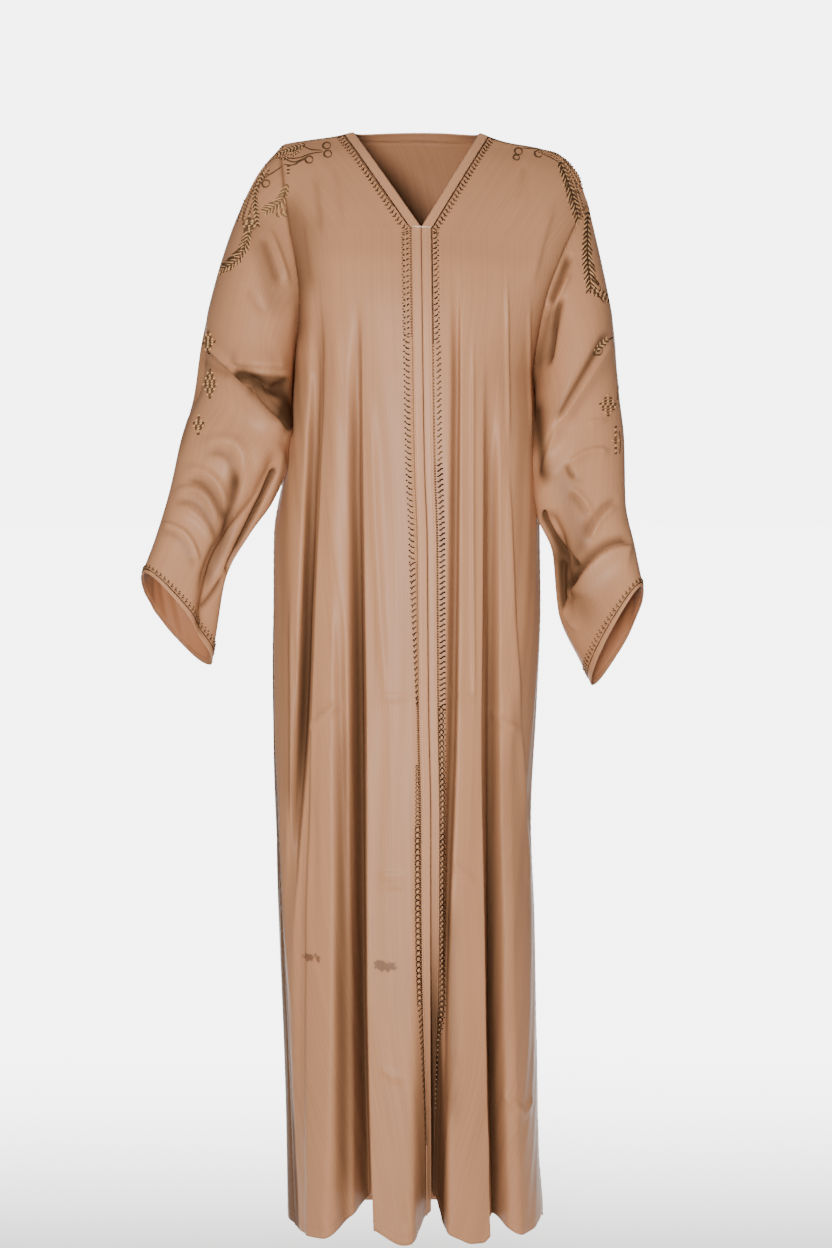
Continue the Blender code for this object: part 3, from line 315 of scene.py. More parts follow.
# Finer folds, seen from the front. Each runs through three points (x and z, millimetres). height
# is how far it stands out, or lies in, in millimetres, left and right its widths on either side
# of travel, and ends the share of its length over which it rises and dies out.
Line = namedtuple("Line", "xa za xm zm xb zb height left right ends")
SLEEVE_LINES = both(Line, [
    (-284, -277, -221, -334, -177, -380, 6, 5, 5, 0.15),
    (-286, -282, -227, -339, -179, -391, -3.5, 2.5, 9, 0.12),
    (-228, -328, -198, -335, -170, -338, -14, 6, 12, 0.2),
    (-248, -305, -208, -310, -168, -312, 5, 16, 3, 0.2),
    (-253, -308, -244, -310, -233, -313, -4, 3, 3, 0.3),
    (-292, -415, -238, -410, -231, -466, 3.5, 7, 12, 0.25),
    (-286, -425, -247, -426, -241, -473, -2.5, 6, 6, 0.25),
    (-309, -444, -270, -452, -244, -501, 3.5, 5, 8, 0.2),
    (-306, -456, -275, -466, -252, -511, -2.5, 5, 5, 0.2),
    (-324, -477, -281, -474, -260, -526, 4, 5, 8, 0.2),
    (-316, -486, -279, -512, -270, -544, 2.5, 4, 6, 0.25),
    (-338, -514, -303, -525, -286, -565, 4, 2.5, 7, 0.15),
    (-238, -434, -247, -501, -285, -607, -5, 6, 10, 0.2),
    (-257, -457, -257, -522, -280, -599, 2.5, 5, 5, 0.25),
    (-193, -460, -228, -499, -267, -593, 3, 5, 9, 0.2),
    (-187, -439, -215, -497, -254, -578, -12, 3, 3.5, 0.08),
    (-254, -581, -279, -615, -290, -622, -6, 3, 3, 0.2),
    (-208, -137, -192, -177, -180, -213, -4, 4, 8, 0.25),
    (-199, -129, -182, -168, -169, -213, 3, 4, 4, 0.25),
    (-233, -205, -215, -226, -197, -249, -2, 6, 6, 0.3),
], [
    (253, -270, 217, -323, 176, -386, 4, 14, 2, 0.15),
    (176, -386, 163, -421, 157, -459, 4, 12, 3, 0.2),
    (247, -262, 212, -321, 171, -384, -4, 2.5, 9, 0.15),
    (197, -161, 182, -193, 163, -238, -6, 5, 5, 0.2),
    (183, -212, 172, -257, 161, -315, -8, 5, 5, 0.2),
    (194, -186, 177, -225, 165, -264, 4, 4, 4, 0.2),
    (212, -384, 226, -381, 242, -381, 2, 2, 3, 0.3),
    (189, -438, 215, -419, 246, -421, 3.5, 3, 8, 0.2),
    (188, -435, 194, -450, 202, -452, -4, 3, 3, 0.3),
    (190, -468, 206, -477, 222, -501, 2.5, 4, 4, 0.25),
    (188, -474, 202, -483, 217, -506, -2, 3, 5, 0.25),
    (259, -482, 231, -499, 212, -536, -3, 4, 6, 0.2),
    (255, -490, 234, -505, 218, -536, 2.5, 5, 4, 0.2),
    (277, -545, 231, -555, 195, -608, 6, 22, 1.8, 0.1),
    (195, -608, 187, -629, 203, -653, 5, 12, 2, 0.2),
    (273, -536, 227, -550, 190, -606, -4, 2, 8, 0.12),
    (157, -493, 174, -531, 206, -571, -9, 3, 7, 0.12),
    (185, -556, 182, -594, 184, -629, -10, 6, 6, 0.2),
])
FRONT_LINES = both(Line, [
    (-127, -208, -132, -380, -149, -662, -3, 6, 10, 0.2),
    (-108, -228, -110, -380, -117, -610, 2, 8, 8, 0.25),
    (-82, -228, -80, -355, -81, -482, -3, 3.5, 6, 0.25),
    (-172, -561, -173, -741, -171, -975, -2, 2.5, 2.5, 0.25),
    (-161, -611, -163, -792, -159, -999, -2.5, 3, 3, 0.25),
    (-167, -586, -168, -767, -166, -987, 1.5, 2, 2, 0.25),
    (-143, -781, -117, -755, -96, -744, 4.5, 7, 2.5, 0.2),
    (-69, -739, -40, -734, -10, -731, 1.6, 4, 1.6, 0.3),
    (-59, -959, -38, -961, -17, -959, 2.6, 3, 1.6, 0.3),
    (-60, -975, -38, -974, -18, -968, 2.2, 3, 1.6, 0.3),
    (-53, -1207, -37, -1218, -21, -1222, 3, 4, 2, 0.3),
    (-13, -1222, -13, -1273, -17, -1324, 2, 2, 5, 0.25),
    (-28, -1363, -22, -1391, -18, -1418, -1.5, 2, 3, 0.3),
    (-140, -50, -133, -98, -129, -150, -2.5, 5, 5, 0.3),
    (-114, -29, -106, -85, -100, -144, -1.5, 5, 5, 0.3),
    (-156, -97, -149, -163, -140, -227, -2, 5, 8, 0.3),
    (-117, -559, -109, -738, -106, -930, 1.5, 5, 3, 0.3),
    (-135, -611, -135, -803, -138, -1061, -1.2, 5, 5, 0.3),
    (-64, -335, -56, -558, -42, -770, 2.6, 6, 6, 0.25),
], [
    (66, -254, 65, -457, 67, -780, 2.8, 3, 1.8, 0.2),
    (109, -177, 110, -291, 113, -431, 2.5, 2.5, 2.5, 0.3),
    (139, -214, 139, -302, 144, -419, 2.5, 2.5, 2.5, 0.3),
    (112, -431, 118, -600, 130, -790, 3.2, 2, 6, 0.2),
    (127, -750, 137, -900, 143, -1010, 2.4, 2, 5, 0.25),
    (175, -90, 157, -143, 138, -217, 3, 5, 10, 0.3),
    (35, -721, 49, -733, 70, -732, 3, 3, 4, 0.25),
    (86, -743, 101, -764, 132, -778, 4, 2.5, 6, 0.25),
    (38, -940, 53, -958, 71, -967, 3.2, 3, 3, 0.25),
    (102, -1246, 120, -1262, 136, -1278, 3, 2.5, 5, 0.25),
    (148, -1261, 139, -1275, 132, -1286, 2.5, 2, 4, 0.25),
    (39, -1179, 43, -1194, 50, -1210, 2, 2, 3, 0.3),
    (134, -39, 129, -81, 113, -96, -1.5, 4, 4, 0.3),
    (142, -42, 139, -73, 138, -104, -1, 5, 5, 0.3),
])

# Narrow grooves along the fronts' valleys, which give them their sharp edges and deep shade
GROOVES = both(Fold, [
    (0.25, 0.001, (-0.0815, -0.0765, -0.075, -0.069), (0.01, 0.022, 0.022, 0.018), 0.006,
     (0.014, 0.018, 0.022, 0.024)),
    (0.56, 0.001, (-0.108, -0.103, -0.099, -0.097), (0, 0.008, 0.012, 0.01),
     (0.006, 0.009, 0.012, 0.012), (0.01, 0.012, 0.016, 0.016)),
    (0.25, 0.001, (-0.135, -0.148, -0.174, -0.188), (0.01, 0.024, 0, 0), 0.006,
     (0.014, 0.018, 0.014, 0.014)),
], [
    (0.3, 0.001, (0.088, 0.0875, 0.088, 0.095), (0.007, 0.018, 0.022, 0.018),
     (0.01, 0.01, 0.006, 0.005), (0.014, 0.015, 0.02, 0.02)),
    (0.18, 0.001, (0.0455, 0.0415, 0.03, 0.024), (0.01, 0.016, 0.02, 0.01),
     (0.009, 0.012, 0.01, 0.006), (0.005, 0.006, 0.006, 0.008)),
])
# Shade painted in a strip along the right side seam, where the back shows behind the front in shadow
Strip = namedtuple("Strip", "drop width")
STRIP = rows_of(Strip, [
    (0.5, 0), (0.57, 0.021), (0.64, 0.021), (0.7, 0.013), (0.79, 0.012), (0.9, 0.02), (1.12, 0.021),
    (1.33, 0.026), (1.46, 0.026),
])
# Shade painted where the sleeves' cloth lies deepest in shadow, drawn as the finer folds are; the
# heights are the darkness of the painted shade here
SLEEVE_SHADES = both(Line, [
    (-243, -316, -205, -352, -168, -396, 0.75, 15, 2, 0.12),
    (-180, -322, -173, -360, -171, -405, 0.9, 8, 10, 0.2),
    (-240, -315, -205, -323, -166, -325, 0.8, 2, 7, 0.15),
    (-174, -405, -186, -470, -222, -545, 0.65, 6, 4, 0.2),
    (-286, -427, -250, -428, -239, -478, 0.36, 5, 6, 0.25),
    (-308, -458, -275, -468, -251, -515, 0.42, 4, 5, 0.2),
    (-322, -490, -286, -492, -266, -538, 0.38, 4, 5, 0.2),
    (-338, -523, -308, -535, -292, -574, 0.32, 3, 5, 0.2),
    (-238, -434, -247, -501, -285, -607, 0.5, 6, 9, 0.2),
    (-286, -300, -262, -316, -244, -326, 0.34, 3, 6, 0.2),
    (-230, -100, -208, -170, -184, -260, 0.32, 30, 10, 0.2),
    (-290, -290, -298, -350, -318, -430, 0.34, 8, 8, 0.2),
    (-302, -455, -262, -500, -240, -570, 0.2, 24, 24, 0.2),
], [
    (152, -345, 154, -405, 162, -470, 0.9, 8, 7, 0.2),
    (180, -530, 199, -596, 217, -655, 0.45, 14, 12, 0.3),
    (176, -225, 162, -270, 154, -320, 0.55, 4, 6, 0.2),
    (247, -262, 212, -321, 171, -384, 0.46, 2, 9, 0.15),
    (186, -432, 195, -453, 214, -457, 0.22, 4, 5, 0.35),
    (186, -470, 202, -484, 222, -514, 0.2, 3, 6, 0.35),
    (259, -482, 231, -499, 212, -536, 0.24, 4, 7, 0.3),
    (213, -500, 209, -535, 210, -560, 0.32, 8, 8, 0.3),
    (273, -538, 227, -551, 190, -606, 0.5, 2, 8, 0.12),
    (168, -420, 192, -500, 204, -600, 0.38, 16, 14, 0.3),
    (222, -560, 224, -610, 208, -670, 0.16, 22, 16, 0.3),
    (176, -520, 180, -570, 186, -630, 0.6, 10, 10, 0.15),
])
# Shade painted on the fronts the same way, where broad stretches of the cloth turn from the light
FRONT_SHADES = both(Line, [
    (-170, -75, -160, -170, -157, -300, 0.52, 14, 18, 0.2),
    (-138, -90, -142, -165, -142, -240, 0.24, 22, 15, 0.3),
    (-178, -440, -175, -650, -172, -900, 0.36, 7, 9, 0.12),
    (-99, -740, -99, -1000, -97, -1400, 0.28, 10, 10, 0.1),
], [
    (36, -980, 37, -1160, 38, -1290, 0.42, 9, 9, 0.15),
    (15, -850, 16, -1000, 15, -1200, 0.2, 9, 9, 0.2),
    (104, -740, 107, -950, 108, -1250, 0.15, 12, 12, 0.2),
    (152, -1180, 156, -1300, 160, -1420, 0.34, 10, 10, 0.2),
])
# How much the hem is lifted at each x
Lift = namedtuple("Lift", "x lift")
HEM = both(Lift, [
    (-0.176, 0.004), (-0.15, -0.002), (-0.125, -0.001), (-0.09, 0.01), (-0.06, 0.016), (-0.052, 0.012),
    (-0.036, 0.002), (-0.024, -0.002), (-0.012, -0.001), (0.014, 0.006),
], [
    (0.013, 0.01), (0.028, 0.014), (0.046, 0.007), (0.066, -0.001), (0.08, -0.001), (0.094, 0.01),
    (0.112, 0.004), (0.13, 0), (0.146, 0.002), (0.164, 0.016),
])

# Low waves of the hanging cloth, in metres: height, width across, length over which they sway
# (in turns of phase) and swell, and where they start
Wave = namedtuple("Wave", "height wide long sway swell start")
FRONT_WAVES = both(Wave, [
    (0.0006, 0.057, 1.3, 0.3, 0.9, 0.1), (0.0004, 0.029, 0.9, 0.4, 0.6, 0.55),
], [
    (0.0006, 0.053, 1.2, 0.3, 0.8, 0.4), (0.0004, 0.031, 1, 0.4, 0.7, 0.15),
])
BACK_WAVES = rows_of(Wave, [
    (0.0012, 0.086, 1.3, 0.3, 0.9, 0.2), (0.0007, 0.041, 0.9, 0.4, 0.7, 0.6),
])
SLEEVE_WAVES = rows_of(Wave, [
    (0.002, 0.078, 0.43, 0.35, 0.37, 0.3), (0.0009, 0.034, 0.31, 0.4, 0.29, 0.7),
])

# Stains: centre and reach of each in metres, how much it hides and its colour
Stain = namedtuple("Stain", "centre reach depth colour")
STAINS = [
    Stain((-0.141, -0.110, -1.070), (0.018, 0.05, 0.009), 0.75, (0.10, 0.045, 0.025, 1.0)),
    Stain((-0.047, -0.156, -1.076), (0.022, 0.05, 0.011), 0.75, (0.10, 0.045, 0.025, 1.0)),
]

# Shapes of the border's stitches: along it and across it, as shares of their size
LOOP = angles(9)
MOTIFS = {
    "dash": np.stack([np.linspace(0, 1, 4), np.zeros(4)], axis=-1),
    "dot": np.stack([np.linspace(-0.5, 0.5, 4), np.zeros(4)], axis=-1),
    "hook": np.array([(0.00, 0.00), (0.10, 0.30), (0.28, 0.60), (0.55, 0.86), (0.95, 1.00)]),
    "slant": np.array([(0.00, 0.00), (0.33, 0.33), (0.66, 0.66), (1.00, 1.00)]),
    "loop": np.stack([0.5 * np.cos(LOOP), 0.5 + 0.5 * np.sin(LOOP)], axis=-1),
}

# The border beside each front edge, in metres down from the shoulder: the stitch, where its row
# starts and ends, its pitch, how far from the band it lies and how wide it is (a pair where these
# change from its start to its end), its length along the border, all four in millimetres, its
# shade from dark, 0, to gold, 1, and its thickness
Border = namedtuple("Border", "motif start end pitch near wide size shade thick")
BORDERS = both(Border, [
    ("dash", 0, 0.186, 2.2, 1, 0, 2.5, 0.02, 1.1),
    ("dash", 0.004, 0.15, 2.4, (2.8, 2.6), 0, 2.5, 0.1, 0.7),
    ("hook", 0.002, 0.2, 6.6, 3.6, 5.2, 4.6, 0.06, 1.1),
    ("dot", 0.004, 0.2, 6.6, 10.2, 0, 1.6, 0.08, 1.6),
    ("dot", 0.19, 0.335, 3.7, 1.6, 0, 2, 0.12, 1.4),
    ("slant", 0.196, 0.335, 7.4, 3.6, 3.4, 3, 0.08, 1.3),
    ("dot", 0.193, 0.335, 3.7, (7.6, 7.4), 0, 1.8, 0.7, 1.6),
    ("dot", 0.199, 0.335, 7.4, (10.4, 10), 0, 2.6, 0.08, 2),
    ("dot", 0.1955, 0.335, 7.4, (12.2, 11.6), 0, 1.8, 0.16, 1.5),
    ("dot", 0.335, 0.62, 3.8, (1.8, 2), 0, 1.8, 0.9, 1.4),
    ("hook", 0.335, 0.62, 7.4, 3.8, (5.8, 5.4), -3.6, 0.06, 1.25),
    ("dot", 0.338, 0.62, 7.4, (11, 10.4), 0, 2.4, 0.08, 1.6),
    ("dot", 0.336, 0.62, 3.7, (6.6, 6.2), 0, 1.8, 0.85, 1.6),
    ("hook", 0.62, 0.8, 7.4, (2.6, 0.6), (7, 2.6), 5.6, 0.06, 1.15),
    ("dot", 0.622, 0.8, 7.4, (10.4, 3.6), 0, 1.8, 0.1, 1.4),
    ("dot", 0.62, 0.79, 3.7, (1.4, 0.6), 0, 1.4, 0.5, 1.1),
    ("dot", 0.795, 1.2, 3, (1.8, 1.4), 0, 1.8, 0.05, 1.6),
    ("loop", 0.88, 0.96, 5.4, (3, 2.4), (3, 6), 4.6, 0.1, 0.8),
    ("loop", 0.96, 1.19, 7.2, (2, 2.4), (6.8, 7.2), 6.8, 0.02, 1),
    ("dot", 0.96, 1.19, 7.2, (5.4, 6), 0, 1.4, 1, 2.6),
    ("dot", 0.9636, 1.19, 7.2, (9.2, 9.8), 0, 1.2, 0.2, 1.2),
    ("hook", 1.19, 1.3, 7.2, (1.8, 1.2), (6.4, 5), 5.2, 0.08, 1),
    ("dot", 1.192, 1.3, 7.2, (8.8, 6.8), 0, 1.6, 0.15, 1.3),
    ("dash", 1.2, 1.376, 2.8, (1.2, 0.6), 0, 2.6, 0.08, 1),
    ("hook", 1.3, 1.372, 7.6, (1.4, 0.8), (4.4, 2.8), 4.6, 0.08, 1),
], [
    ("dash", 0, 0.335, 2.2, (1, 1.2), 0, 2.5, 0.02, 1.1),
    ("hook", 0.002, 0.19, 6.6, 2.2, 5.2, 4.6, 0.05, 1.15),
    ("dot", 0.004, 0.19, 6.6, 8.8, 0, 1.6, 0.08, 1.7),
    ("hook", 0.19, 0.335, 7.4, (2.2, 2.4), 5, -4, 0.04, 1.2),
    ("dot", 0.192, 0.335, 7.4, 8.6, 0, 1.8, 0.08, 1.7),
    ("dot", 0.335, 0.49, 4.2, 1.2, 0, 2.2, 0.2, 1.1),
    ("dot", 0.337, 0.49, 4.2, 3.2, 0, 1.5, 0.95, 1.3),
    ("hook", 0.335, 0.49, 7.4, 4.4, 4, -3.6, 0.14, 1.2),
    ("dot", 0.339, 0.49, 7.4, 9.6, 0, 2, 0.12, 1.8),
    ("dot", 0.49, 0.8, 3.4, 1.2, 0, 2, 0.04, 1.3),
    ("hook", 0.49, 0.8, 6.8, 3, 5.6, -4.4, 0.03, 1.4),
    ("dot", 0.4935, 0.8, 6.8, 10, 0, 2.4, 0.04, 2.1),
    ("dot", 0.492, 0.8, 6.8, 6.2, 0, 1.6, 0.8, 1.4),
    ("loop", 0.8, 1.33, 7, (3.2, 3.4), 5.4, 5.8, 0.04, 1.2),
    ("dash", 0.8, 1.35, 2.6, 1.2, 0, 2.1, 0.05, 1),
    ("dot", 0.8035, 1.33, 7, (10, 10.2), 0, 1.8, 0.08, 1.6),
    ("dot", 0.8, 1.33, 7, (5.8, 6), 0, 1.2, 0.7, 1.5),
])
# The same stitches on the back neck and, measured up from the edge, round each cuff
NAPE_BORDER = rows_of(Border, [
    ("dash", 0, 1, 2.2, 1, 0, 2.5, 0.02, 1.15),
    ("hook", 0.002, 1, 6.6, 2.4, 5.2, 4.6, 0.08, 1.2),
    ("dot", 0.004, 1, 6.6, 9.2, 0, 1.6, 0.1, 1.9),
])
CUFF_BORDER = rows_of(Border, [
    ("dash", 0, 1, 2.4, 8, 0, 2.5, 0.06, 1),
    ("hook", 0.002, 1, 7, 9.8, 4.6, 4.4, 0.1, 1.15),
    ("dot", 0.004, 1, 7, 16, 0, 1.6, 0.14, 1.8),
    ("dot", 0.0055, 1, 7, 11.8, 0, 1.4, 0.35, 1.4),
])

# Thread work of the shoulders and sleeves. Places are x and z in millimetres as the front shows
# them. A Vine is a line of thread, a Leaf stitches to both sides of a spine (their lengths at its
# start, middle and end, none where that side has none, and their lean from its direction), a
# Filling rows of short stitches between two lines, a Ringlet a loop and a Beading beads in a
# diamond.
Vine = namedtuple("Vine", "shade thick points")
Leaf = namedtuple("Leaf", "shade pitch spine left lean_left right lean_right")
Filling = namedtuple("Filling", "shade rows pitch length first last")
Ringlet = namedtuple("Ringlet", "shade x z radius")
Beading = namedtuple("Beading", "shade x z wide high rows columns")
VINES = both(Vine, [
    (0.1, 1.2, [(-181, -33), (-173, -32), (-164, -31), (-156, -23), (-152, -20)]),
    (0.1, 1.2, [(-154, -23), (-145, -28), (-129, -30)]),
    (0.08, 1.2, [(-183, -34), (-169, -41), (-158, -40), (-144, -35), (-127, -32)]),
    (0.1, 1.2, [(-180, -37), (-172, -44), (-164, -46), (-151, -40)]),
    (0.1, 1.2, [(-178, -49), (-166, -50), (-158, -46), (-148, -40)]),
    (0.1, 1.2, [(-179, -50), (-189, -57), (-200, -64), (-205, -68)]),
    (0.2, 0.9, [(-206, -60), (-216, -82), (-210, -130)]),
    (0.25, 0.9, [(-220, -82), (-229, -102), (-230, -117)]),
    (0.12, 1.2, [(-225, -145), (-233, -171), (-249, -182), (-262, -182)]),
    (0.3, 1.1, [(-176, -79), (-182, -101), (-204, -113)]),
], [
    (0.1, 1.2, [(123, -25), (159, -27), (180, -33), (191, -45), (203, -56), (211, -73)]),
    (0.12, 1.2, [(159, -33), (175, -41), (180, -44)]),
    (0.06, 1.5, [(181, -44), (193, -79), (204, -119)]),
    (0.06, 1.5, [(218, -108), (216, -139), (216, -180), (219, -208)]),
    (0.1, 1.2, [(240, -276), (246, -274), (253, -270)]),
    (0.12, 1.2, [(255, -298), (258, -328), (255, -354)]),
    (0.12, 1.1, [(257, -394), (258, -409), (257, -424)]),
])
LEAVES = both(Leaf, [
    (0.1, 0.0025, [(-221, -134), (-228, -160), (-243, -178), (-262, -188)], (6, 9, 7), 42,
     (9, 15, 10), -48),
    (0.24, 0.0024, [(-173, -76), (-180, -96), (-200, -112)], (5, 10, 6), 48, (7, 13, 8), -48),
    (0.28, 0.0025, [(-187, -116), (-175, -112)], (4, 6, 4), 60, (5, 7, 5), -60),
    (0.12, 0.0026, [(-206, -60), (-214, -84), (-211, -128)], (4, 6, 4), 40, (4, 6, 4), -40),
    (0.11, 0.0027, [(-243, -120), (-248, -136), (-252, -152)], (), 40, (3, 4, 3), -50),
    (0.11, 0.0021, [(-172, -51), (-172, -63)], (2, 2, 2), 60, (2, 2, 2), -60),
    (0.08, 0.0022, [(-152, -21), (-168, -27), (-186, -34)], (4, 5, 4), 50, (4, 5, 4), -50),
], [
    (0.08, 0.003, [(181, -44), (193, -79), (204, -119)], (5, 9, 6), 42, (8, 13, 9), -40),
    (0.06, 0.003, [(218, -108), (216, -139), (216, -180), (219, -208)], (4, 10, 22), 42,
     (6, 11, 9), -42),
    (0.11, 0.0034, [(203, -84), (207, -78), (211, -73)], (3, 4, 3), 70, (3, 4, 3), -70),
    (0.11, 0.003, [(230, -158), (234, -168), (237, -178)], (3, 4, 3), 60, (), -60),
    (0.1, 0.0026, [(219, -212), (233, -217), (247, -224)], (5, 7, 5), 95, (5, 7, 5), -85),
    (0.1, 0.0028, [(222, -296), (230, -286), (240, -276)], (4, 6, 4), 50, (4, 6, 4), -50),
])
FILLINGS = both(Filling, [
    (0.1, 6, 0.004, 0.0026, [(-205, -48), (-190, -40), (-176, -44), (-160, -34)],
     [(-183, -26), (-170, -24), (-162, -25), (-153, -20)]),
    (0.12, 4, 0.0042, 0.003, [(-213, -61), (-206, -62), (-199, -62)],
     [(-210, -52), (-203, -52), (-197, -53)]),
    (0.12, 5, 0.0044, 0.003, [(-208, -48), (-222, -70), (-234, -100), (-240, -122)],
     [(-196, -55), (-207, -74), (-216, -100), (-222, -118)]),
    (0.12, 4, 0.0044, 0.003, [(-232, -112), (-233, -124), (-230, -136)],
     [(-214, -112), (-211, -124), (-216, -136)]),
], [
    (0.12, 5, 0.004, 0.0026, [(150, -30), (172, -36), (188, -50), (202, -72)],
     [(152, -26), (180, -32), (196, -44), (212, -66)]),
    (0.08, 3, 0.0046, 0.0028, [(186, -44), (198, -78), (209, -116)],
     [(193, -48), (205, -80), (214, -110)]),
])
RINGLETS = both(Ringlet, [
    (0.1, -123, -23, 5), (0.1, -121, -35, 5), (0.1, -145, -43, 5), (0.14, -201, -74, 5),
    (0.3, -221, -129, 9), (0.55, -221, -129, 6.5), (0.45, -222, -121, 4),
], [
    (0.1, 127, -30, 5), (0.1, 153, -33, 5), (0.1, 124, -39, 4), (0.12, 229, -291, 5.5),
    (0.4, 229, -291, 3.2),
])
BEADINGS = both(Beading, [
    (0.12, -275, -279, 18, 26, 9, 7), (0.12, -273, -333, 18, 36, 11, 7),
    (0.12, -287, -386, 12, 24, 8, 5), (0.12, -221, -129, 14, 24, 8, 5),
], [
    (0.12, 241, -361, 20, 26, 8, 7), (0.12, 251, -406, 8, 34, 11, 3), (0.5, 229, -291, 8, 6, 2, 3),
])


def cubic(values, rate, step, k, f):
    """Values at the share f of each step k of a curve through them with these rates of change."""
    g = 1 - f
    return (values[k] * g * g * (1 + 2 * f) + values[k + 1] * f * f * (1 + 2 * g)
            + step * (rate[k] * f * g * g - rate[k + 1] * f * f * g))


def smooth(at, knots, values):
    """Value at each place of a smooth curve through the knots that never overshoots them."""
    at = np.clip(np.asarray(at, float), knots[0], knots[-1])
    knots = np.asarray(knots, float)
    values = np.asarray(values, float)
    step = np.diff(knots)
    slope = np.diff(values) / step
    rate = np.zeros(len(values))
    rate[0], rate[-1] = slope[0], slope[-1]
    product = slope[:-1] * slope[1:]
    total = slope[:-1] + slope[1:]
    rate[1:-1] = np.where(product > 0, 2 * product / np.where(product > 0, total, 1.0), 0.0)
    k = np.clip(np.searchsorted(knots, at, side="right") - 1, 0, len(step) - 1)
    return cubic(values, rate, step[k], k, (at - knots[k]) / step[k])


def ease(x):
    """0 below 0, 1 above 1, smooth between."""
    x = np.clip(x, 0.0, 1.0)
    return x * x * (3 - 2 * x)


def read(table, field, at):
    """A field of a table at the given places, which are in its first column."""
    return smooth(at, [row[0] for row in table], [getattr(row, field) for row in table])


def line(table, at):
    """Points of a table of x, y and z."""
    return np.stack([read(table, field, at) for field in "xyz"], axis=-1)


def unit(v):
    """Vectors of length one."""
    return v / np.maximum(np.linalg.norm(v, axis=-1, keepdims=True), 1e-9)


def fold_depth(folds, side, x, drop):
    """How far the folds set the cloth back at these places: full on a fold's floor, easing to
    nothing where its sides end.
    """
    total = np.zeros(np.broadcast(x, drop).shape)
    for fold in folds[side]:
        valley, depth, inner, outer = [
            smooth(drop, FOLD_DROPS, np.full(len(FOLD_DROPS), values)) for values in fold[2:]]
        offset = (x - valley) * side
        reach = np.where(offset < 0, inner, outer)
        sides = 1 - ease((np.abs(offset) - fold.floor) / (reach - fold.floor))
        total = total + depth * ease((drop - fold.start) / FOLD_FADE) * sides
    return total


def turn_depth(side, x, drop):
    """How far the front edge is turned back into the skirt."""
    reach = read(OPENING, SIDES[side], drop)
    away = np.abs(x - read(LEVELS, "centre", drop))
    share = RIGHT_TURN if side == RIGHT else 1.0
    return read(OPENING, "depth", drop) * (1 - ease(away / reach)) * share


def seam_point(side, drop):
    """x and y of the side seam, which lies on the back's rounded side, forward of its middle."""
    y = read(LEVELS, SIDES[side] + "_seam", drop)
    side_x = read(LEVELS, SIDES[side], drop)
    power = 2 / SQUARE
    share = (1 - (np.abs(y) / read(LEVELS, "back", drop)) ** power) ** (1 / power)
    return side_x * share, y


def rounded(angle):
    """Sine and cosine raised to the body's exponent, with the cosine's sign kept."""
    sine = np.abs(np.sin(angle)) ** SQUARE
    cosine = np.cos(angle)
    return sine, np.sign(cosine) * np.abs(cosine) ** SQUARE


def front_edge(side, row):
    """Free edge of a front: down the V, then down the opening to the underarm's height."""
    top = np.clip(row / TOP_ROWS, 0, 1)
    down_v = np.clip(top / NECK_ROW, 0, 1)
    below = np.clip((top - NECK_ROW) / (1 - NECK_ROW), 0, 1)
    neck = SHOULDER[side][0]
    z = neck.z - (NECK_DEPTH + neck.z) * down_v - (UNDERARM - NECK_DEPTH) * below
    y = read(FRONT_EDGE, "y", down_v + below)
    x = neck.x * (1 - down_v) + LEVELS[0].centre * below
    return np.stack([x, y, z], axis=-1)


def front(side, row, turn):
    """Points of a front. row runs from the shoulder to the hem, turn from the free edge, 0, to
    the armhole or side seam, 1. Each row is a quarter of a rounded rectangle, set back by folds.
    """
    row, turn = np.broadcast_arrays(np.asarray(row, float), np.asarray(turn, float))
    out, forward = rounded(turn * math.pi / 2)
    top = np.clip(row / TOP_ROWS, 0, 1)
    inner = front_edge(side, row)
    outer = line(ARMHOLE_FRONT[side], top)
    seam = line(SHOULDER[side], out)
    neck_z, arm_z = SHOULDER[side][0].z, SHOULDER[side][-1].z
    bend = (1 - top) ** EDGE_EASE * (seam[..., 2] - neck_z - (arm_z - neck_z) * out)
    upper = np.stack([inner[..., 0] + (outer[..., 0] - inner[..., 0]) * out,
                      outer[..., 1] + (inner[..., 1] - outer[..., 1]) * forward,
                      inner[..., 2] + (outer[..., 2] - inner[..., 2]) * out + bend], axis=-1)
    side_x, side_y = seam_point(side, LENGTH)
    centre = read(LEVELS, "centre", LENGTH)
    hem_x = centre + (side_x - centre) * out
    fade = ease((1 - turn) / SEAM_FADE)
    hem_depth = fold_depth(FOLDS_FRONT, side, hem_x, LENGTH) * fade + turn_depth(side, hem_x, LENGTH)
    down = np.clip((row - TOP_ROWS) / SKIRT_ROWS, 0, 1)
    drop = UNDERARM + (LENGTH - HEM_LIFT * hem_depth - UNDERARM) * down
    side_x, side_y = seam_point(side, drop)
    centre = read(LEVELS, "centre", drop)
    depth_y = read(LEVELS, "front", drop) - side_y
    skirt = np.stack([centre + (side_x - centre) * out, side_y + depth_y * forward, -drop], axis=-1)
    points = np.where(row[..., None] < TOP_ROWS, upper, skirt)
    width = np.where(row < TOP_ROWS, np.abs(outer[..., 0] - inner[..., 0]), np.abs(side_x - centre))
    depth = np.where(row < TOP_ROWS, np.abs(outer[..., 1] - inner[..., 1]), np.abs(depth_y))
    power = 2 / SQUARE - 1
    normal = unit(np.stack([side * out ** power * depth, -forward ** power * width], axis=-1))
    x, z = points[..., 0], points[..., 2]
    set_back = fold_depth(FOLDS_FRONT, side, x, -z) * fade + turn_depth(side, x, -z)
    points[..., :2] -= normal * set_back[..., None]
    return points


def neck_start(side):
    """Share of the shoulder seam that the neck band takes."""
    return rounded(band_turn(side, np.zeros(1)) * math.pi / 2)[0][0]


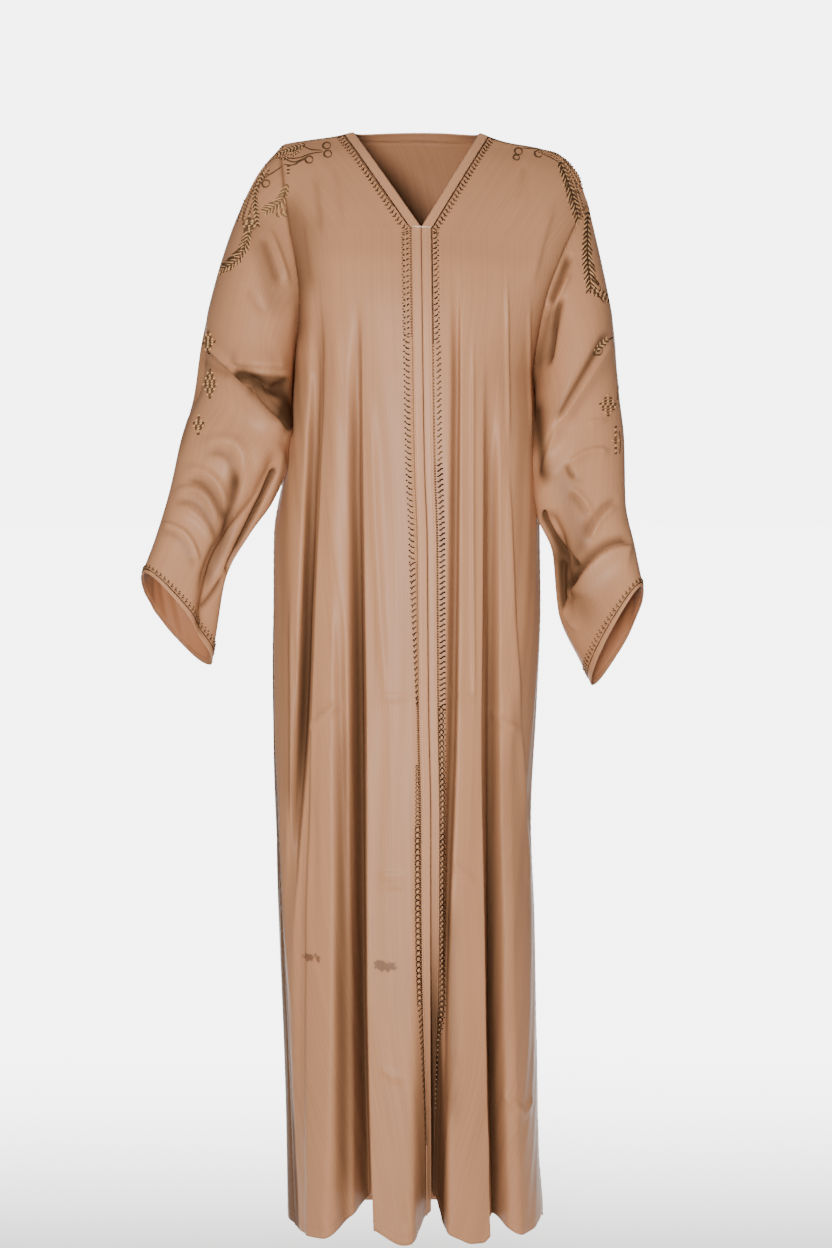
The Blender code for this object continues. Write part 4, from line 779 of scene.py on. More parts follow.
def back_neck(side, turn):
    """Free edge of the back neck and its band's seam, from the shoulder, 0, to the middle, 1."""
    angle = np.asarray(turn, float) * math.pi / 2
    neck = SHOULDER[side][0]
    across, rise = np.abs(np.cos(angle)) ** SQUARE, np.sin(angle)
    edge = np.stack([neck.x * across, NAPE[1] * rise ** SQUARE,
                     neck.z + (NAPE[2] - neck.z) * rise ** 2], axis=-1)
    shoulder = line(SHOULDER[side], neck_start(side)) - line(SHOULDER[side], 0.0)
    down = unit(np.array(NAPE_SLOPE)) * BAND
    return edge, edge + np.cos(angle)[..., None] * shoulder + rise[..., None] * down


def back_top(side, turn):
    """Top edge of the back: the neck band's seam from the middle, then the shoulder seam."""
    under_neck = np.clip(turn / SHOULDER_SHARE, 0, 1)
    along = np.clip((turn - SHOULDER_SHARE) / (1 - SHOULDER_SHARE), 0, 1)
    neck_seam = back_neck(side, 1 - under_neck)[1]
    start = neck_start(side)
    shoulder = line(SHOULDER[side], start + (1 - start) * along)
    return np.where((turn < SHOULDER_SHARE)[..., None], neck_seam, shoulder)


def back_level(side, drop, turn):
    """x and y of the back's rounded side at a drop, which wraps forward to the side seam."""
    side_x = read(LEVELS, SIDES[side], drop)
    depth = read(LEVELS, "back", drop)
    seam_y = seam_point(side, drop)[1]
    reach = math.pi / 2 + np.arcsin((np.abs(seam_y) / depth) ** (1 / SQUARE))
    out, behind = rounded(turn * reach)
    power = 2 / SQUARE - 1
    normal = np.stack([side * out ** power * depth,
                       np.sign(behind) * np.abs(behind) ** power * np.abs(side_x)], axis=-1)
    return side_x * out, depth * behind, unit(normal)


def back(side, row, turn):
    """Points of half the back. turn runs from the middle of the back, 0, to the armhole or side
    seam, 1. Its top is a patch stretched between its four edges, the skirt is rings with folds.
    """
    row, turn = np.broadcast_arrays(np.asarray(row, float), np.asarray(turn, float))
    top = np.clip(row / TOP_ROWS, 0, 1)
    under_x, under_y, _ = back_level(side, np.full(turn.shape, UNDERARM), turn)
    under = np.stack([under_x, under_y, np.full(turn.shape, -UNDERARM)], axis=-1)
    share = np.stack([top, np.sin(top * math.pi / 2) ** BACK_ROUND, top], axis=-1)
    start, armhole = back_top(side, turn), line(ARMHOLE_BACK[side], top)
    corner, underarm = back_top(side, np.ones(1))[0], line(ARMHOLE_BACK[side], 1.0)
    nape = back_neck(side, np.ones(1))[1][0]
    low = np.array([0.0, BACK_EDGE[-1].y, -UNDERARM])
    middle = nape + (low - nape) * share
    middle[..., 1] = read(BACK_EDGE, "y", top)
    patch = start + (under - start) * share
    bow = armhole - corner - (underarm - corner) * share
    patch = patch + bow * turn[..., None] ** EDGE_EASE
    bow = middle - nape - (low - nape) * share
    patch = patch + bow * (1 - turn[..., None]) ** EDGE_EASE
    fade = ease((1 - turn) / SEAM_FADE)
    hem = LENGTH + TRAIN * np.cos(turn * math.pi / 2) ** 2
    hem_x, _, _ = back_level(side, np.full(turn.shape, LENGTH), turn)
    hem = hem - HEM_LIFT * fold_depth(FOLDS_BACK, side, hem_x, LENGTH) * fade
    drop = UNDERARM + (hem - UNDERARM) * np.clip((row - TOP_ROWS) / SKIRT_ROWS, 0, 1)
    x, y, normal = back_level(side, drop, turn)
    points = np.where(row[..., None] < TOP_ROWS, patch, np.stack([x, y, -drop], axis=-1))
    set_back = fold_depth(FOLDS_BACK, side, points[..., 0], -points[..., 2]) * fade
    points[..., :2] -= normal * set_back[..., None]
    return points


def sleeve_ring(side, share, turn):
    """Points of a sleeve's rings and the middles of these rings, before its folds."""
    rings = SLEEVES[side]
    outer = np.stack([read(rings, name, share) for name in ("ox", "oy", "oz")], axis=-1)
    under = np.stack([read(rings, name, share) for name in ("ix", "iy", "iz")], axis=-1)
    cosine, sine = np.cos(turn * 2 * math.pi), np.sin(turn * 2 * math.pi)
    along = np.sign(cosine) * np.abs(cosine) ** SLEEVE_SQUARE
    across = np.sign(sine) * np.abs(sine) ** SLEEVE_SQUARE
    depth = np.where(sine > 0, read(rings, "front", share), read(rings, "back", share))
    across = across * (1 - read(rings, "narrow", share) * (1 - cosine) / 2)
    middle = (outer + under) / 2
    ring = middle + (outer - under) / 2 * along[..., None]
    ring[..., 1] -= across * depth
    ring[..., 2] += across * read(rings, "tilt", share)
    return ring, middle


def sleeve(side, share, turn):
    """Points of a sleeve. share runs from the armhole to the cuff, turn round it from the outer
    side by way of the front, the underside and the back. The armhole's loop eases into rings.
    """
    share, turn = np.broadcast_arrays(np.asarray(share, float), np.asarray(turn, float))
    loop = np.where((turn <= 0.5)[..., None], line(ARMHOLE_FRONT[side], turn * 2),
                    line(ARMHOLE_BACK[side], (1 - turn) * 2))
    ring, middle = sleeve_ring(side, share, turn)
    first, _ = sleeve_ring(side, np.zeros(share.shape), turn)
    points = ring + (loop - first) * (1 - ease(share / CAP_EASE))[..., None]
    for crease in CREASES[side]:
        points = points + unit(middle - points) * crease_depth(crease, share, turn)[..., None]
    return points


def crease_depth(crease, share, turn):
    """How far a sleeve fold sets the cloth in, by the distance from the fold's line."""
    scale = np.array([SLEEVE_LENGTH, SLEEVE_GIRTH])
    here = np.stack([share, turn], axis=-1) * scale
    start = np.array([crease.share_a, crease.turn_a]) * scale
    run = np.array([crease.share_b, crease.turn_b]) * scale - start
    along = np.clip((here - start) @ run / (run @ run), 0, 1)
    away = np.linalg.norm(here - start - along[..., None] * run, axis=-1)
    return crease.depth * (1 - ease(away / crease.reach))


def band_turn(side, row):
    """Where the seam of the neck band or the placket lies in each row of a front."""
    fine = np.linspace(0, BAND_REACH, BAND_STEPS + 1)
    points = front(side, row[:, None], fine[None, :])
    along = arcs(points)
    after = front(side, np.minimum(row + EDGE_STEP, TOP_ROWS + SKIRT_ROWS), 0.0)
    down = unit(after - front(side, row - EDGE_STEP, 0.0))
    across = unit(points[:, SLANT_STEPS] - points[:, 0])
    slant = np.linalg.norm(np.cross(down, across), axis=-1)
    return np.array([np.interp(BAND / s, a, fine) for s, a in zip(slant, along)])


def arcs(points, weight=1):
    """Distance along each row of points from its first point, with each step weighted."""
    run = np.linalg.norm(np.diff(points, axis=1), axis=-1) * weight
    return np.concatenate([np.zeros((len(points), 1)), np.cumsum(run, axis=1)], axis=1)


def crowding(folds, points):
    """How much closer than elsewhere columns lie at these points, by the valleys of the folds."""
    close = np.ones(points.shape[:2])
    for fold in folds:
        offset = points[..., 0] - smooth(-points[..., 2], FOLD_DROPS, fold.x)
        close += CROWD * np.exp(-(offset / CROWD_WIDE) ** 2)
    return close


def spaced(make, side, levels, start, end, columns, folds=()):
    """Places at equal distances along each row of a surface, from start to end, or closer by the
    valleys of its folds.
    """
    share = np.linspace(0, 1, ARC_STEPS + 1)
    turns = start[:, None] + (end - start[:, None]) * share
    points = make(side, levels[:, None], turns)
    along = arcs(points, crowding(folds, points)[:, 1:])
    even = np.linspace(0, 1, columns + 1)
    return np.array([np.interp(even * a[-1], a, t) for a, t in zip(along, turns)])


def ahead(grid, closed):
    """The way along each row of a grid."""
    if closed:
        return np.roll(grid, -1, axis=1) - np.roll(grid, 1, axis=1)
    return np.gradient(grid, axis=1)


def normals(grid, outward, closed=False):
    """Unit normals of a grid: its two tangents crossed, turned to the given side."""
    return unit(np.cross(np.gradient(grid, axis=0), ahead(grid, closed))) * outward


def fold_heights(lines, x, z):
    """Height of the finer folds at these places, in metres. Each follows a quadratic curve through
    its three points and falls off across it as exp(-(s / width) ** 2) of the distance s.
    """
    total = np.zeros(x.shape)
    for fold in lines:
        a, m, b = (np.array(p) / 1000 for p in
                   ((fold.xa, fold.za), (fold.xm, fold.zm), (fold.xb, fold.zb)))
        t = np.linspace(0, 1, FOLD_STEPS + 1)[:, None]
        curve = a * (1 - t) ** 2 + (4 * m - a - b) * t * (1 - t) + b * t ** 2
        left, right = fold.left / 1000, fold.right / 1000
        reach = FOLD_REACH * max(left, right)
        low, high = curve.min(axis=0) - reach, curve.max(axis=0) + reach
        near = (x > low[0]) & (x < high[0]) & (z > low[1]) & (z < high[1])
        step = np.diff(curve, axis=0)
        size = np.linalg.norm(step, axis=-1)
        start = np.append(0, np.cumsum(size))
        offset = np.stack([x[near], z[near]], axis=-1)[:, None] - curve[:-1]
        part = np.clip(np.sum(offset * step, axis=-1) / size ** 2, 0, 1)
        away = offset - part[..., None] * step
        gap = np.linalg.norm(away, axis=-1)
        k = np.argmin(gap, axis=1)
        pick = np.arange(len(k))
        away, part, gap, way = away[pick, k], part[pick, k], gap[pick, k], step[k]
        on_left = way[:, 0] * away[:, 1] - way[:, 1] * away[:, 0] > 0
        along = (start[k] + part * size[k]) / start[-1]
        ends = ease(along / fold.ends) * ease((1 - along) / fold.ends)
        width = np.where(on_left, left, right)
        total[near] += fold.height / 1000 * ends * np.exp(-(gap / width) ** 2)
    return total


def shaded(painted_shade, lines, x, z, where=1):
    """The painted shade at these places with that of the broad lines laid over it: what is left of the
    light is multiplied by what each of them leaves.
    """
    shade = np.minimum(fold_heights(lines, x, z) * 1000, 1) * where
    return 1 - (1 - painted_shade) * (1 - shade)


def ripples(waves, across, down):
    """Low waves of the hanging cloth: sines across it whose phase wanders on the way down."""
    total = np.zeros(across.shape)
    for wave in waves:
        wander = wave.sway * np.sin(2 * math.pi * (down / wave.long + wave.start))
        swell = SWELL_MEAN + SWELL_RANGE * np.sin(2 * math.pi * (down / wave.swell + wave.start * 3))
        total += wave.height * swell * np.sin(2 * math.pi * (across / wave.wide + wander))
    return total


def pucker(distance, along):
    """Small gathers beside a seam: a low roll that the stitches pull into scallops."""
    d = distance / PUCKER_WIDE
    return PUCKER * d * np.exp(1 - d) * (1 + PUCKER_WAVE * np.sin(2 * math.pi * along / PUCKER_PITCH))


def grooved(side, row, turn):
    """Points of a front with its narrow grooves, which set it back square to the front view."""
    points = front(side, row, turn)
    x, drop = points[..., 0], -points[..., 2]
    off_band = np.abs(x - read(LEVELS, "centre", drop)) - BAND
    depth = fold_depth(GROOVES, side, x, drop) * ease(off_band / SEAM_CALM)
    back_y = points[..., 1] + depth * ease((1 - turn) / SEAM_FADE)
    lift = read(HEM[side], "lift", x) * ease((drop - HEM_CURVE) / (LENGTH - HEM_CURVE)) ** 2
    return np.stack([x, back_y, lift - drop], axis=-1)


def panel_rows(top_fine, skirt_fine):
    """Rows from the shoulder to the hem: so many down to the underarm and so many below it."""
    return np.append(np.linspace(0, TOP_ROWS, top_fine + 1)[:-1],
                     np.linspace(TOP_ROWS, TOP_ROWS + SKIRT_ROWS, skirt_fine + 1))


def front_grid(side):
    """One front from its band's seam to the armhole and side seam, with all its folds."""
    levels = panel_rows(TOP_FINE, SKIRT_FINE)
    turns = spaced(grooved, side, levels, band_turn(side, levels), 1.0, FRONT_FINE,
                   FOLDS_FRONT[side])
    plain_grid = front(side, levels[:, None], turns)
    normal = normals(plain_grid, side)
    grid = grooved(side, levels[:, None], turns)
    # Painted shade that grows with the depth of each groove, and on the edge that is turned back
    painted_shade = ease((grid - plain_grid)[..., 1] / GROOVE_SHADE)
    turned = turn_depth(side, grid[..., 0], -grid[..., 2])
    painted_shade = np.maximum(painted_shade, ease(turned / TURN_SHADE) * TURNED[side])
    across, down = arcs(grid), arcs(grid.swapaxes(0, 1)).T
    x, z = grid[..., 0], grid[..., 2]
    seam = across[:, -1:] - across
    calm = ease(across / SEAM_CALM) * ease(seam / SEAM_CALM) * ease(down / SEAM_CALM)
    settled = ease((-z - WAVE_START) / WAVE_FADE)
    height = fold_heights(FRONT_LINES[side], x, z)
    # Painted shade in the dents of the finer folds and along the seams
    painted_shade = np.maximum(painted_shade, ease(-height / DENT_SHADE) * DENT_DARK)
    painted_shade = np.maximum(painted_shade, (1 - ease(seam / SEAM_SHADE)) * SEAM_DARK)
    # Painted shade in the strip along the right side seam
    if side == RIGHT:
        width = read(STRIP, "width", -z)
        strip = (1 - ease((seam - width) / STRIP_SOFT)) * ease(width / STRIP_SOFT)
        painted_shade = np.maximum(painted_shade, strip * STRIP_DARK)
    painted_shade = shaded(painted_shade, FRONT_SHADES[side], x, z)
    height = height + settled * ripples(FRONT_WAVES[side], across, down)
    height = height * calm + pucker(seam, down) + pucker(down, across) + pucker(across, down) / 2
    return grid + normal * height[..., None], painted_shade


def back_grid():
    """The back from side seam to side seam, with all its folds."""
    levels = panel_rows(BACK_TOP_FINE, BACK_SKIRT_FINE)
    halves = []
    for side in SIDES:
        turns = spaced(back, side, levels, np.zeros(len(levels)), 1.0, BACK_FINE)
        top = np.interp(np.linspace(0, 1, BACK_FINE + 1), (0, NECK_COLUMNS / BACK_FINE, 1),
                        (0, SHOULDER_SHARE, 1))
        weight = ease(levels / TOP_ROWS)[:, None]
        halves.append(back(side, levels[:, None], top * (1 - weight) + turns * weight))
    grid = np.concatenate([halves[0][:, :0:-1], halves[1]], axis=1)
    loose = (ease(levels / SMOOTH_ROWS) * (1 - ease(levels / TOP_ROWS)))[:, None, None]
    for _ in range(BACK_SMOOTHINGS):
        even = (grid[:, 2:] + grid[:, :-2]) / 2
        grid[:, 1:-1] += (even - grid[:, 1:-1]) * loose / 2
    normal = normals(grid, -1)
    across, down = arcs(grid), arcs(grid.swapaxes(0, 1)).T
    edge = np.minimum(across, across[:, -1:] - across)
    calm = ease(edge / SEAM_CALM) * ease(down / SEAM_CALM)
    settled = ease((-grid[..., 2] - WAVE_START) / WAVE_FADE)
    middle = across - across[:, BACK_FINE:BACK_FINE + 1]
    height = settled * ripples(BACK_WAVES, middle, down) * calm
    height = height + pucker(edge, down) + pucker(down, across)
    # Painted shade in the strip along the right side seam and along the edges
    strip = (1 - ease((edge - STRIP_BACK) / STRIP_SOFT)) * (grid[..., 0] < 0) * STRIP_DARK
    strip = strip * ease((-grid[..., 2] - STRIP_START) / STRIP_FADE)
    painted_shade = np.maximum(strip, (1 - ease(edge / SEAM_SHADE)) * SEAM_DARK)
    return grid + normal * height[..., None], painted_shade


def sleeve_grid(side):
    """One sleeve from the armhole to the cuff, with all its folds."""
    share = np.linspace(0, 1, SLEEVE_FINE + 1)
    zero, half = np.zeros(len(share)), np.full(len(share), 0.5)
    before = spaced(sleeve, side, share, zero, 0.5, ROUND_FRONT)[:, :-1]
    behind = spaced(sleeve, side, share, half, 1.0, ROUND_BACK)[:, :-1]
    turns = np.concatenate([before, behind], axis=1)
    grid = sleeve(side, share[:, None], turns)
    normal = normals(grid, -side, closed=True)
    down = arcs(grid.swapaxes(0, 1)).T
    across = arcs(grid)
    calm = ease(down / SEAM_CALM)
    faces_front = ease(-normal[..., 1] / FRONT_ONLY) * (turns < 0.5)
    height = fold_heights(SLEEVE_LINES[side], grid[..., 0], grid[..., 2])
    height = height * faces_front * SLEEVE_BOLD
    # Painted shade in the dents, along the armhole seam and under the broad shade lines
    painted_shade = np.maximum(ease(-height / DENT_SHADE) * DENT_DARK,
                        (1 - ease(down / SEAM_SHADE)) * SEAM_DARK)
    painted_shade = shaded(painted_shade, SLEEVE_SHADES[side], grid[..., 0], grid[..., 2], turns < 0.5)
    behind = np.sin(math.pi * np.clip(turns * 2 - 1, 0, 1))
    wrap = across[:, :1] + turns * SLEEVE_GIRTH
    height = (height + behind * ripples(SLEEVE_WAVES, down, wrap)) * calm + pucker(down, across)
    return grid + normal * height[..., None], painted_shade


def corners(rows, columns):
    """Row and column of each corner of each face of a grid with so many rows and columns."""
    row, column = np.meshgrid(np.arange(rows - 1), np.arange(columns - 1), indexing="ij")
    return (np.stack([row, row + 1, row + 1, row], axis=-1).reshape(-1, 4),
            np.stack([column, column, column + 1, column + 1], axis=-1).reshape(-1, 4))


def wrapped(grid):
    """A grid with its first column once more after its last."""
    return np.concatenate([grid, grid[:, :1]], axis=1)


def meshed(name, points, faces, finishes):
    """A smooth mesh in the scene."""
    mesh = bpy.data.meshes.new(name)
    mesh.from_pydata(points, [], faces)
    mesh.shade_smooth()
    for finish in finishes:
        mesh.materials.append(finish)
    piece = bpy.data.objects.new(name, mesh)
    bpy.context.scene.collection.objects.link(piece)
    return piece


def marked(piece, name, values):
    """Writes a number for each point of a piece, which its material reads."""
    layer = piece.data.attributes.new(name, "FLOAT", "POINT")
    layer.data.foreach_set("value", values.astype(np.float32).ravel())


def cloth(name, grid, outward, wall, finishes, closed=False, painted_shade=None):
    """A wall of cloth on a grid of points. Its map gives metres along and across the cloth, and the
    painted shade given for each point, from 0 to 1, darkens its colour.
    """
    columns = grid.shape[1]
    row, column = corners(len(grid), columns + closed)
    if outward < 0:
        row, column = row[:, ::-1], column[:, ::-1]
    faces = row * columns + column % columns
    piece = meshed(name, grid.reshape(-1, 3), faces.tolist(), finishes)
    loop = wrapped(grid) if closed else grid
    across = arcs(loop)
    down = arcs(loop.swapaxes(0, 1)).T
    places = np.stack([across[row, column], down[row, column]], axis=-1)
    layer = piece.data.uv_layers.new(name="cloth")
    layer.data.foreach_set("uv", places.astype(np.float32).ravel())
    if painted_shade is not None:
        marked(piece, "painted_shade", painted_shade)
    solid = piece.modifiers.new("Cloth thickness", "SOLIDIFY")
    solid.thickness = wall
    solid.offset = -1
    solid.material_offset = len(finishes) - 1
    return piece


def worn(piece, node_name):
    """Fastens a finished piece to the garment's body and hides the frame's node whose place it takes.
    """
    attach(piece, "root")
    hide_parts(node_name)


def crowned(strip, normal):
    """A strip of points across a band, raised to a flat crown, with a small roll for its piping."""
    share = np.linspace(0, 1, strip.shape[1])
    flat = BAND_CROWN * (1 - np.abs(2 * share / PIPE_SHARE - 1) ** CROWN_POWER)
    roll = PIPE_CROWN * np.sin(math.pi * np.clip((share - PIPE_SHARE) / (1 - PIPE_SHARE), 0, 1))
    rise = np.where(share < PIPE_SHARE, flat, roll)
    return strip + normal * rise[None, :, None]


def sample(grid, row, column):
    """Points or normals between those of a grid, by bilinear interpolation."""
    row = np.clip(row, 0, grid.shape[0] - 1.001)
    column = np.clip(column, 0, grid.shape[1] - 1.001)
    r, c = row.astype(int), column.astype(int)
    fr, fc = (row - r)[..., None], (column - c)[..., None]
    near = grid[r, c] * (1 - fc) + grid[r, c + 1] * fc
    far = grid[r + 1, c] * (1 - fc) + grid[r + 1, c + 1] * fc
    return near * (1 - fr) + far * fr


def lifted(grid, normal, row, column, lift):
    """Points over a surface at fractional rows and columns, and the normals there."""
    out = unit(sample(normal, row, column))
    return sample(grid, row, column) + out * lift, out


class Panel:
    """A finished surface that thread work is laid on: its points, its normals and its measures."""

    def __init__(self, grid, painted_shade, outward, closed=False):
        self.grid, self.painted_shade = grid, painted_shade
        self.normal = normals(grid, outward, closed)
        self.across = arcs(grid)

    def at(self, row, column, lift):
        """Points over the surface at fractional rows and columns, and the normals there."""
        return lifted(self.grid, self.normal, row, column, lift)

    def along_side(self, s, d, lift):
        """Points at distance s down the first column and d square to it."""
        edge = self.grid[:, 0]
        down = arcs(edge[None])[0]
        way = unit(np.gradient(edge, axis=0))
        out = unit(self.grid[:, SLANT_COLUMNS] - edge)
        cosine = np.sum(way * out, axis=-1)
        sine = np.sqrt(1 - cosine ** 2)
        places = np.arange(len(edge))
        first = np.interp(s, down, places)
        row = np.interp(s - d * np.interp(first, places, cosine / sine), down, places)
        step = np.interp(row, places, self.across[:, SLANT_COLUMNS]) / SLANT_COLUMNS
        return self.at(row, d / np.interp(row, places, sine) / step, lift)

    def along_top(self, s, d, lift, first=0):
        """Points at distance s along the first row, from a column, and d below it."""
        return self.at(d / self.step(0, 1), self.column(0, s, first), lift)

    def along_hem(self, s, d, lift):
        """Points at distance s along the last row and d above it."""
        return self.at(len(self.grid) - 1 - d / self.step(-1, -2), self.column(-1, s, 0), lift)

    def along_cuff(self, s, d, lift):
        """The same on a sleeve, whose last column meets its first."""
        grid = wrapped(self.grid)
        last = arcs(grid[-1:])[0]
        column = np.interp(s % last[-1], last, np.arange(len(last)))
        row = len(self.grid) - 1 - d / self.step(-1, -2)
        return lifted(grid, wrapped(self.normal), row, column, lift)

    def step(self, edge, inner):
        """Mean distance between two rows."""
        return np.linalg.norm(self.grid[inner] - self.grid[edge], axis=-1).mean()

    def column(self, row, s, first):
        """Fractional column at distance s along a row from a column."""
        span = self.across[row] - self.across[row, first]
        return np.interp(s, span, np.arange(len(span)))


class Sight:
    """What the front shows of a side: points are placed on it by their x and z."""

    def __init__(self, panels):
        points = np.concatenate([p.grid.reshape(-1, 3) for p in panels])
        normal = np.concatenate([p.normal.reshape(-1, 3) for p in panels])
        keep = (normal[:, 1] < -FACING_FRONT) & (points[:, 2] > SIGHT_LOW)
        self.points, self.normal = points[keep], normal[keep]

    def at(self, x, z, lift):
        """Points on the cloth behind these places, lifted off it, the normals there, and how far
        each place lies past the cloth that is seen.
        """
        shape = np.shape(x)
        here = np.stack([np.ravel(x), np.ravel(z)], axis=-1)
        flat = self.points[:, [0, 2]]
        k = np.concatenate([
            np.argmin((part ** 2).sum(axis=1)[:, None] - 2 * part @ flat.T
                      + (flat ** 2).sum(axis=1), axis=1)
            for part in np.array_split(here, max(1, len(here) // SIGHT_BATCH))])
        base, normal = self.points[k], self.normal[k]
        gap = np.sum(normal[:, [0, 2]] * (here - base[:, [0, 2]]), axis=-1)
        y = base[:, 1] - gap / normal[:, 1]
        points = np.stack([here[:, 0], y, here[:, 1]], axis=-1) + normal * lift
        past = np.linalg.norm(here - base[:, [0, 2]], axis=-1)
        return points.reshape(*shape, 3), normal.reshape(*shape, 3), past.reshape(shape)


# Threads of one kind: the points of each stroke and the cloth's normals there
Strokes = namedtuple("Strokes", "points normal radius shade closed", defaults=[False])


def threads(name, kinds, finish):
    """One mesh of threads: each stroke is swept with a flattened ring of THREAD_SIDES corners."""
    spots, faces, shades, total = [], [], [], 0
    angle = angles(THREAD_SIDES)
    for kind in kinds:
        count, length = kind.points.shape[:2]
        way = ahead(kind.points, kind.closed)
        across = unit(np.cross(way, kind.normal))
        up = unit(np.cross(across, way))
        ring = across[:, :, None] * np.cos(angle)[:, None] \
            + up[:, :, None] * np.sin(angle)[:, None] * THREAD_FLAT
        taper = TIP + (1 - TIP) * np.sin(math.pi * np.linspace(0, 1, length)) ** 0.5
        size = kind.radius * np.broadcast_to(taper, (count, length))
        spots.append((kind.points[:, :, None] + ring * size[..., None, None]).reshape(-1, 3))
        base = total + np.arange(count)[:, None, None] * length * THREAD_SIDES
        k = np.arange(length if kind.closed else length - 1)[None, :, None]
        j = np.arange(THREAD_SIDES)[None, None, :]
        after, beside = (k + 1) % length, (j + 1) % THREAD_SIDES
        sides = np.stack([base + k * THREAD_SIDES + j, base + after * THREAD_SIDES + j,
                          base + after * THREAD_SIDES + beside, base + k * THREAD_SIDES + beside],
                         axis=-1)
        faces += sides.reshape(-1, 4).tolist()
        if not kind.closed:
            ends = base[:, 0] + np.arange(THREAD_SIDES)
            faces += ends.tolist()
            faces += (ends + (length - 1) * THREAD_SIDES)[:, ::-1].tolist()
        shade = np.broadcast_to(np.reshape(kind.shade, (-1, 1)), (count, length * THREAD_SIDES))
        shades.append(shade.ravel())
        total += count * length * THREAD_SIDES
    piece = meshed(name, np.concatenate(spots), faces, (finish,))
    marked(piece, "shade", np.concatenate(shades))
    return piece


def flowing(points, count):
    """Points at equal distances along a smooth curve through a few (x, z) points in millimetres."""
    knots = np.array(points, float) / 1000
    span = arcs(knots[None])[0]
    rate = np.gradient(knots, span, axis=0) if len(knots) > 2 else np.repeat(
        (knots[1:] - knots[:-1]) / span[1], 2, axis=0)
    t = np.linspace(0, span[-1], CURVE_FINE * count)
    k = np.clip(np.searchsorted(span, t, side="right") - 1, 0, len(span) - 2)
    step = np.diff(span)[k][:, None]
    curve = cubic(knots, rate, step, k, ((t - span[k]) / step[:, 0])[:, None])
    run = arcs(curve[None])[0]
    even = np.linspace(0, run[-1], count)
    return np.stack([np.interp(even, run, curve[:, 0]), np.interp(even, run, curve[:, 1])], axis=-1)


def length_of(points):
    """Length of a broken line, in metres, of points in millimetres."""
    return np.linalg.norm(np.diff(np.array(points, float), axis=0), axis=-1).sum() / 1000


def rotated(way, angle):
    """Ways in the front view, turned to the left by an angle."""
    return np.stack([way[..., 0] * np.cos(angle) - way[..., 1] * np.sin(angle),
                     way[..., 0] * np.sin(angle) + way[..., 1] * np.cos(angle)], axis=-1)


def branching(spine, pitch, lengths, lean):
    """Stitches that leave a spine to one side. lengths are at its start, middle and end, lean is
    their angle from its direction, to the left where positive.
    """
    count = max(2, round(length_of(spine) / pitch))
    curve = flowing(spine, count)
    way = unit(np.gradient(curve, axis=0))
    share = np.linspace(0, 1, count)
    size = np.interp(share, (0, 0.5, 1), np.array(lengths, float) / 1000)
    size = size * (1 + LENGTH_DRIFT * np.sin(LENGTH_BEAT * np.arange(count)))
    angle = math.radians(lean) + ANGLE_DRIFT * np.sin(ANGLE_BEAT * np.arange(count))
    out = rotated(way, angle)
    t = np.linspace(0, 1, STITCH_POINTS)[None, :, None]
    return (curve[:, None] + out[:, None] * size[:, None, None] * t
            + way[:, None] * size[:, None, None] * STITCH_BEND * t ** 2)


def rings(centres, radius):
    """Small loops of thread round (x, z) places in metres."""
    turn = np.stack([np.cos(angles(RING_POINTS)), np.sin(angles(RING_POINTS))], axis=-1)
    return np.asarray(centres, float)[:, None] + turn * radius


def short(centres, way, length):
    """Short straight stitches of one length, centred on places, along ways of length one."""
    t = np.linspace(-0.5, 0.5, BEAD_POINTS)[None, :, None]
    return np.asarray(centres)[:, None] + np.asarray(way)[:, None] * length * t


def feed(tree, made, inputs):
    """Sets a node's inputs to constants, or links them from other nodes' outputs."""
    for place, value in inputs.items():
        if isinstance(value, bpy.types.NodeSocket):
            tree.links.new(value, made.inputs[place])
        else:
            made.inputs[place].default_value = value


def node(tree, kind, inputs=None, **settings):
    """A shader node with these settings and inputs."""
    made = tree.nodes.new(kind)
    for name, value in settings.items():
        setattr(made, name, value)
    feed(tree, made, inputs or {})
    return made


def mixed(tree, share, first, second):
    """Colour that goes from the first to the second with the share."""
    inputs = {0: share, 6: first, 7: second}
    return node(tree, "ShaderNodeMix", inputs, data_type="RGBA").outputs[2]


def math_node(tree, operation, *values):
    """A number worked out from others."""
    return node(tree, "ShaderNodeMath", dict(enumerate(values)), operation=operation).outputs[0]


def ranged(tree, value, start, end, low, high, way="LINEAR"):
    """A number that goes from low to high while the value goes from start to end."""
    inputs = {"Value": value, "From Min": start, "From Max": end, "To Min": low, "To Max": high}
    return node(tree, "ShaderNodeMapRange", inputs, interpolation_type=way).outputs[0]


def blank(name):
    """A new material, its node tree and its shader."""
    finish = bpy.data.materials.new(name)
    finish.use_nodes = True
    return finish, finish.node_tree, finish.node_tree.nodes["Principled BSDF"]


def noise(tree, place, scale, detail):
    """A cloudy number between 0 and 1."""
    inputs = {"Vector": place, "Scale": scale, "Detail": detail}
    return node(tree, "ShaderNodeTexNoise", inputs).outputs["Fac"]


def toned(colour, share):
    """A colour made darker or paler, with its alpha."""
    return (*(min(1, c * share) for c in colour), 1.0)


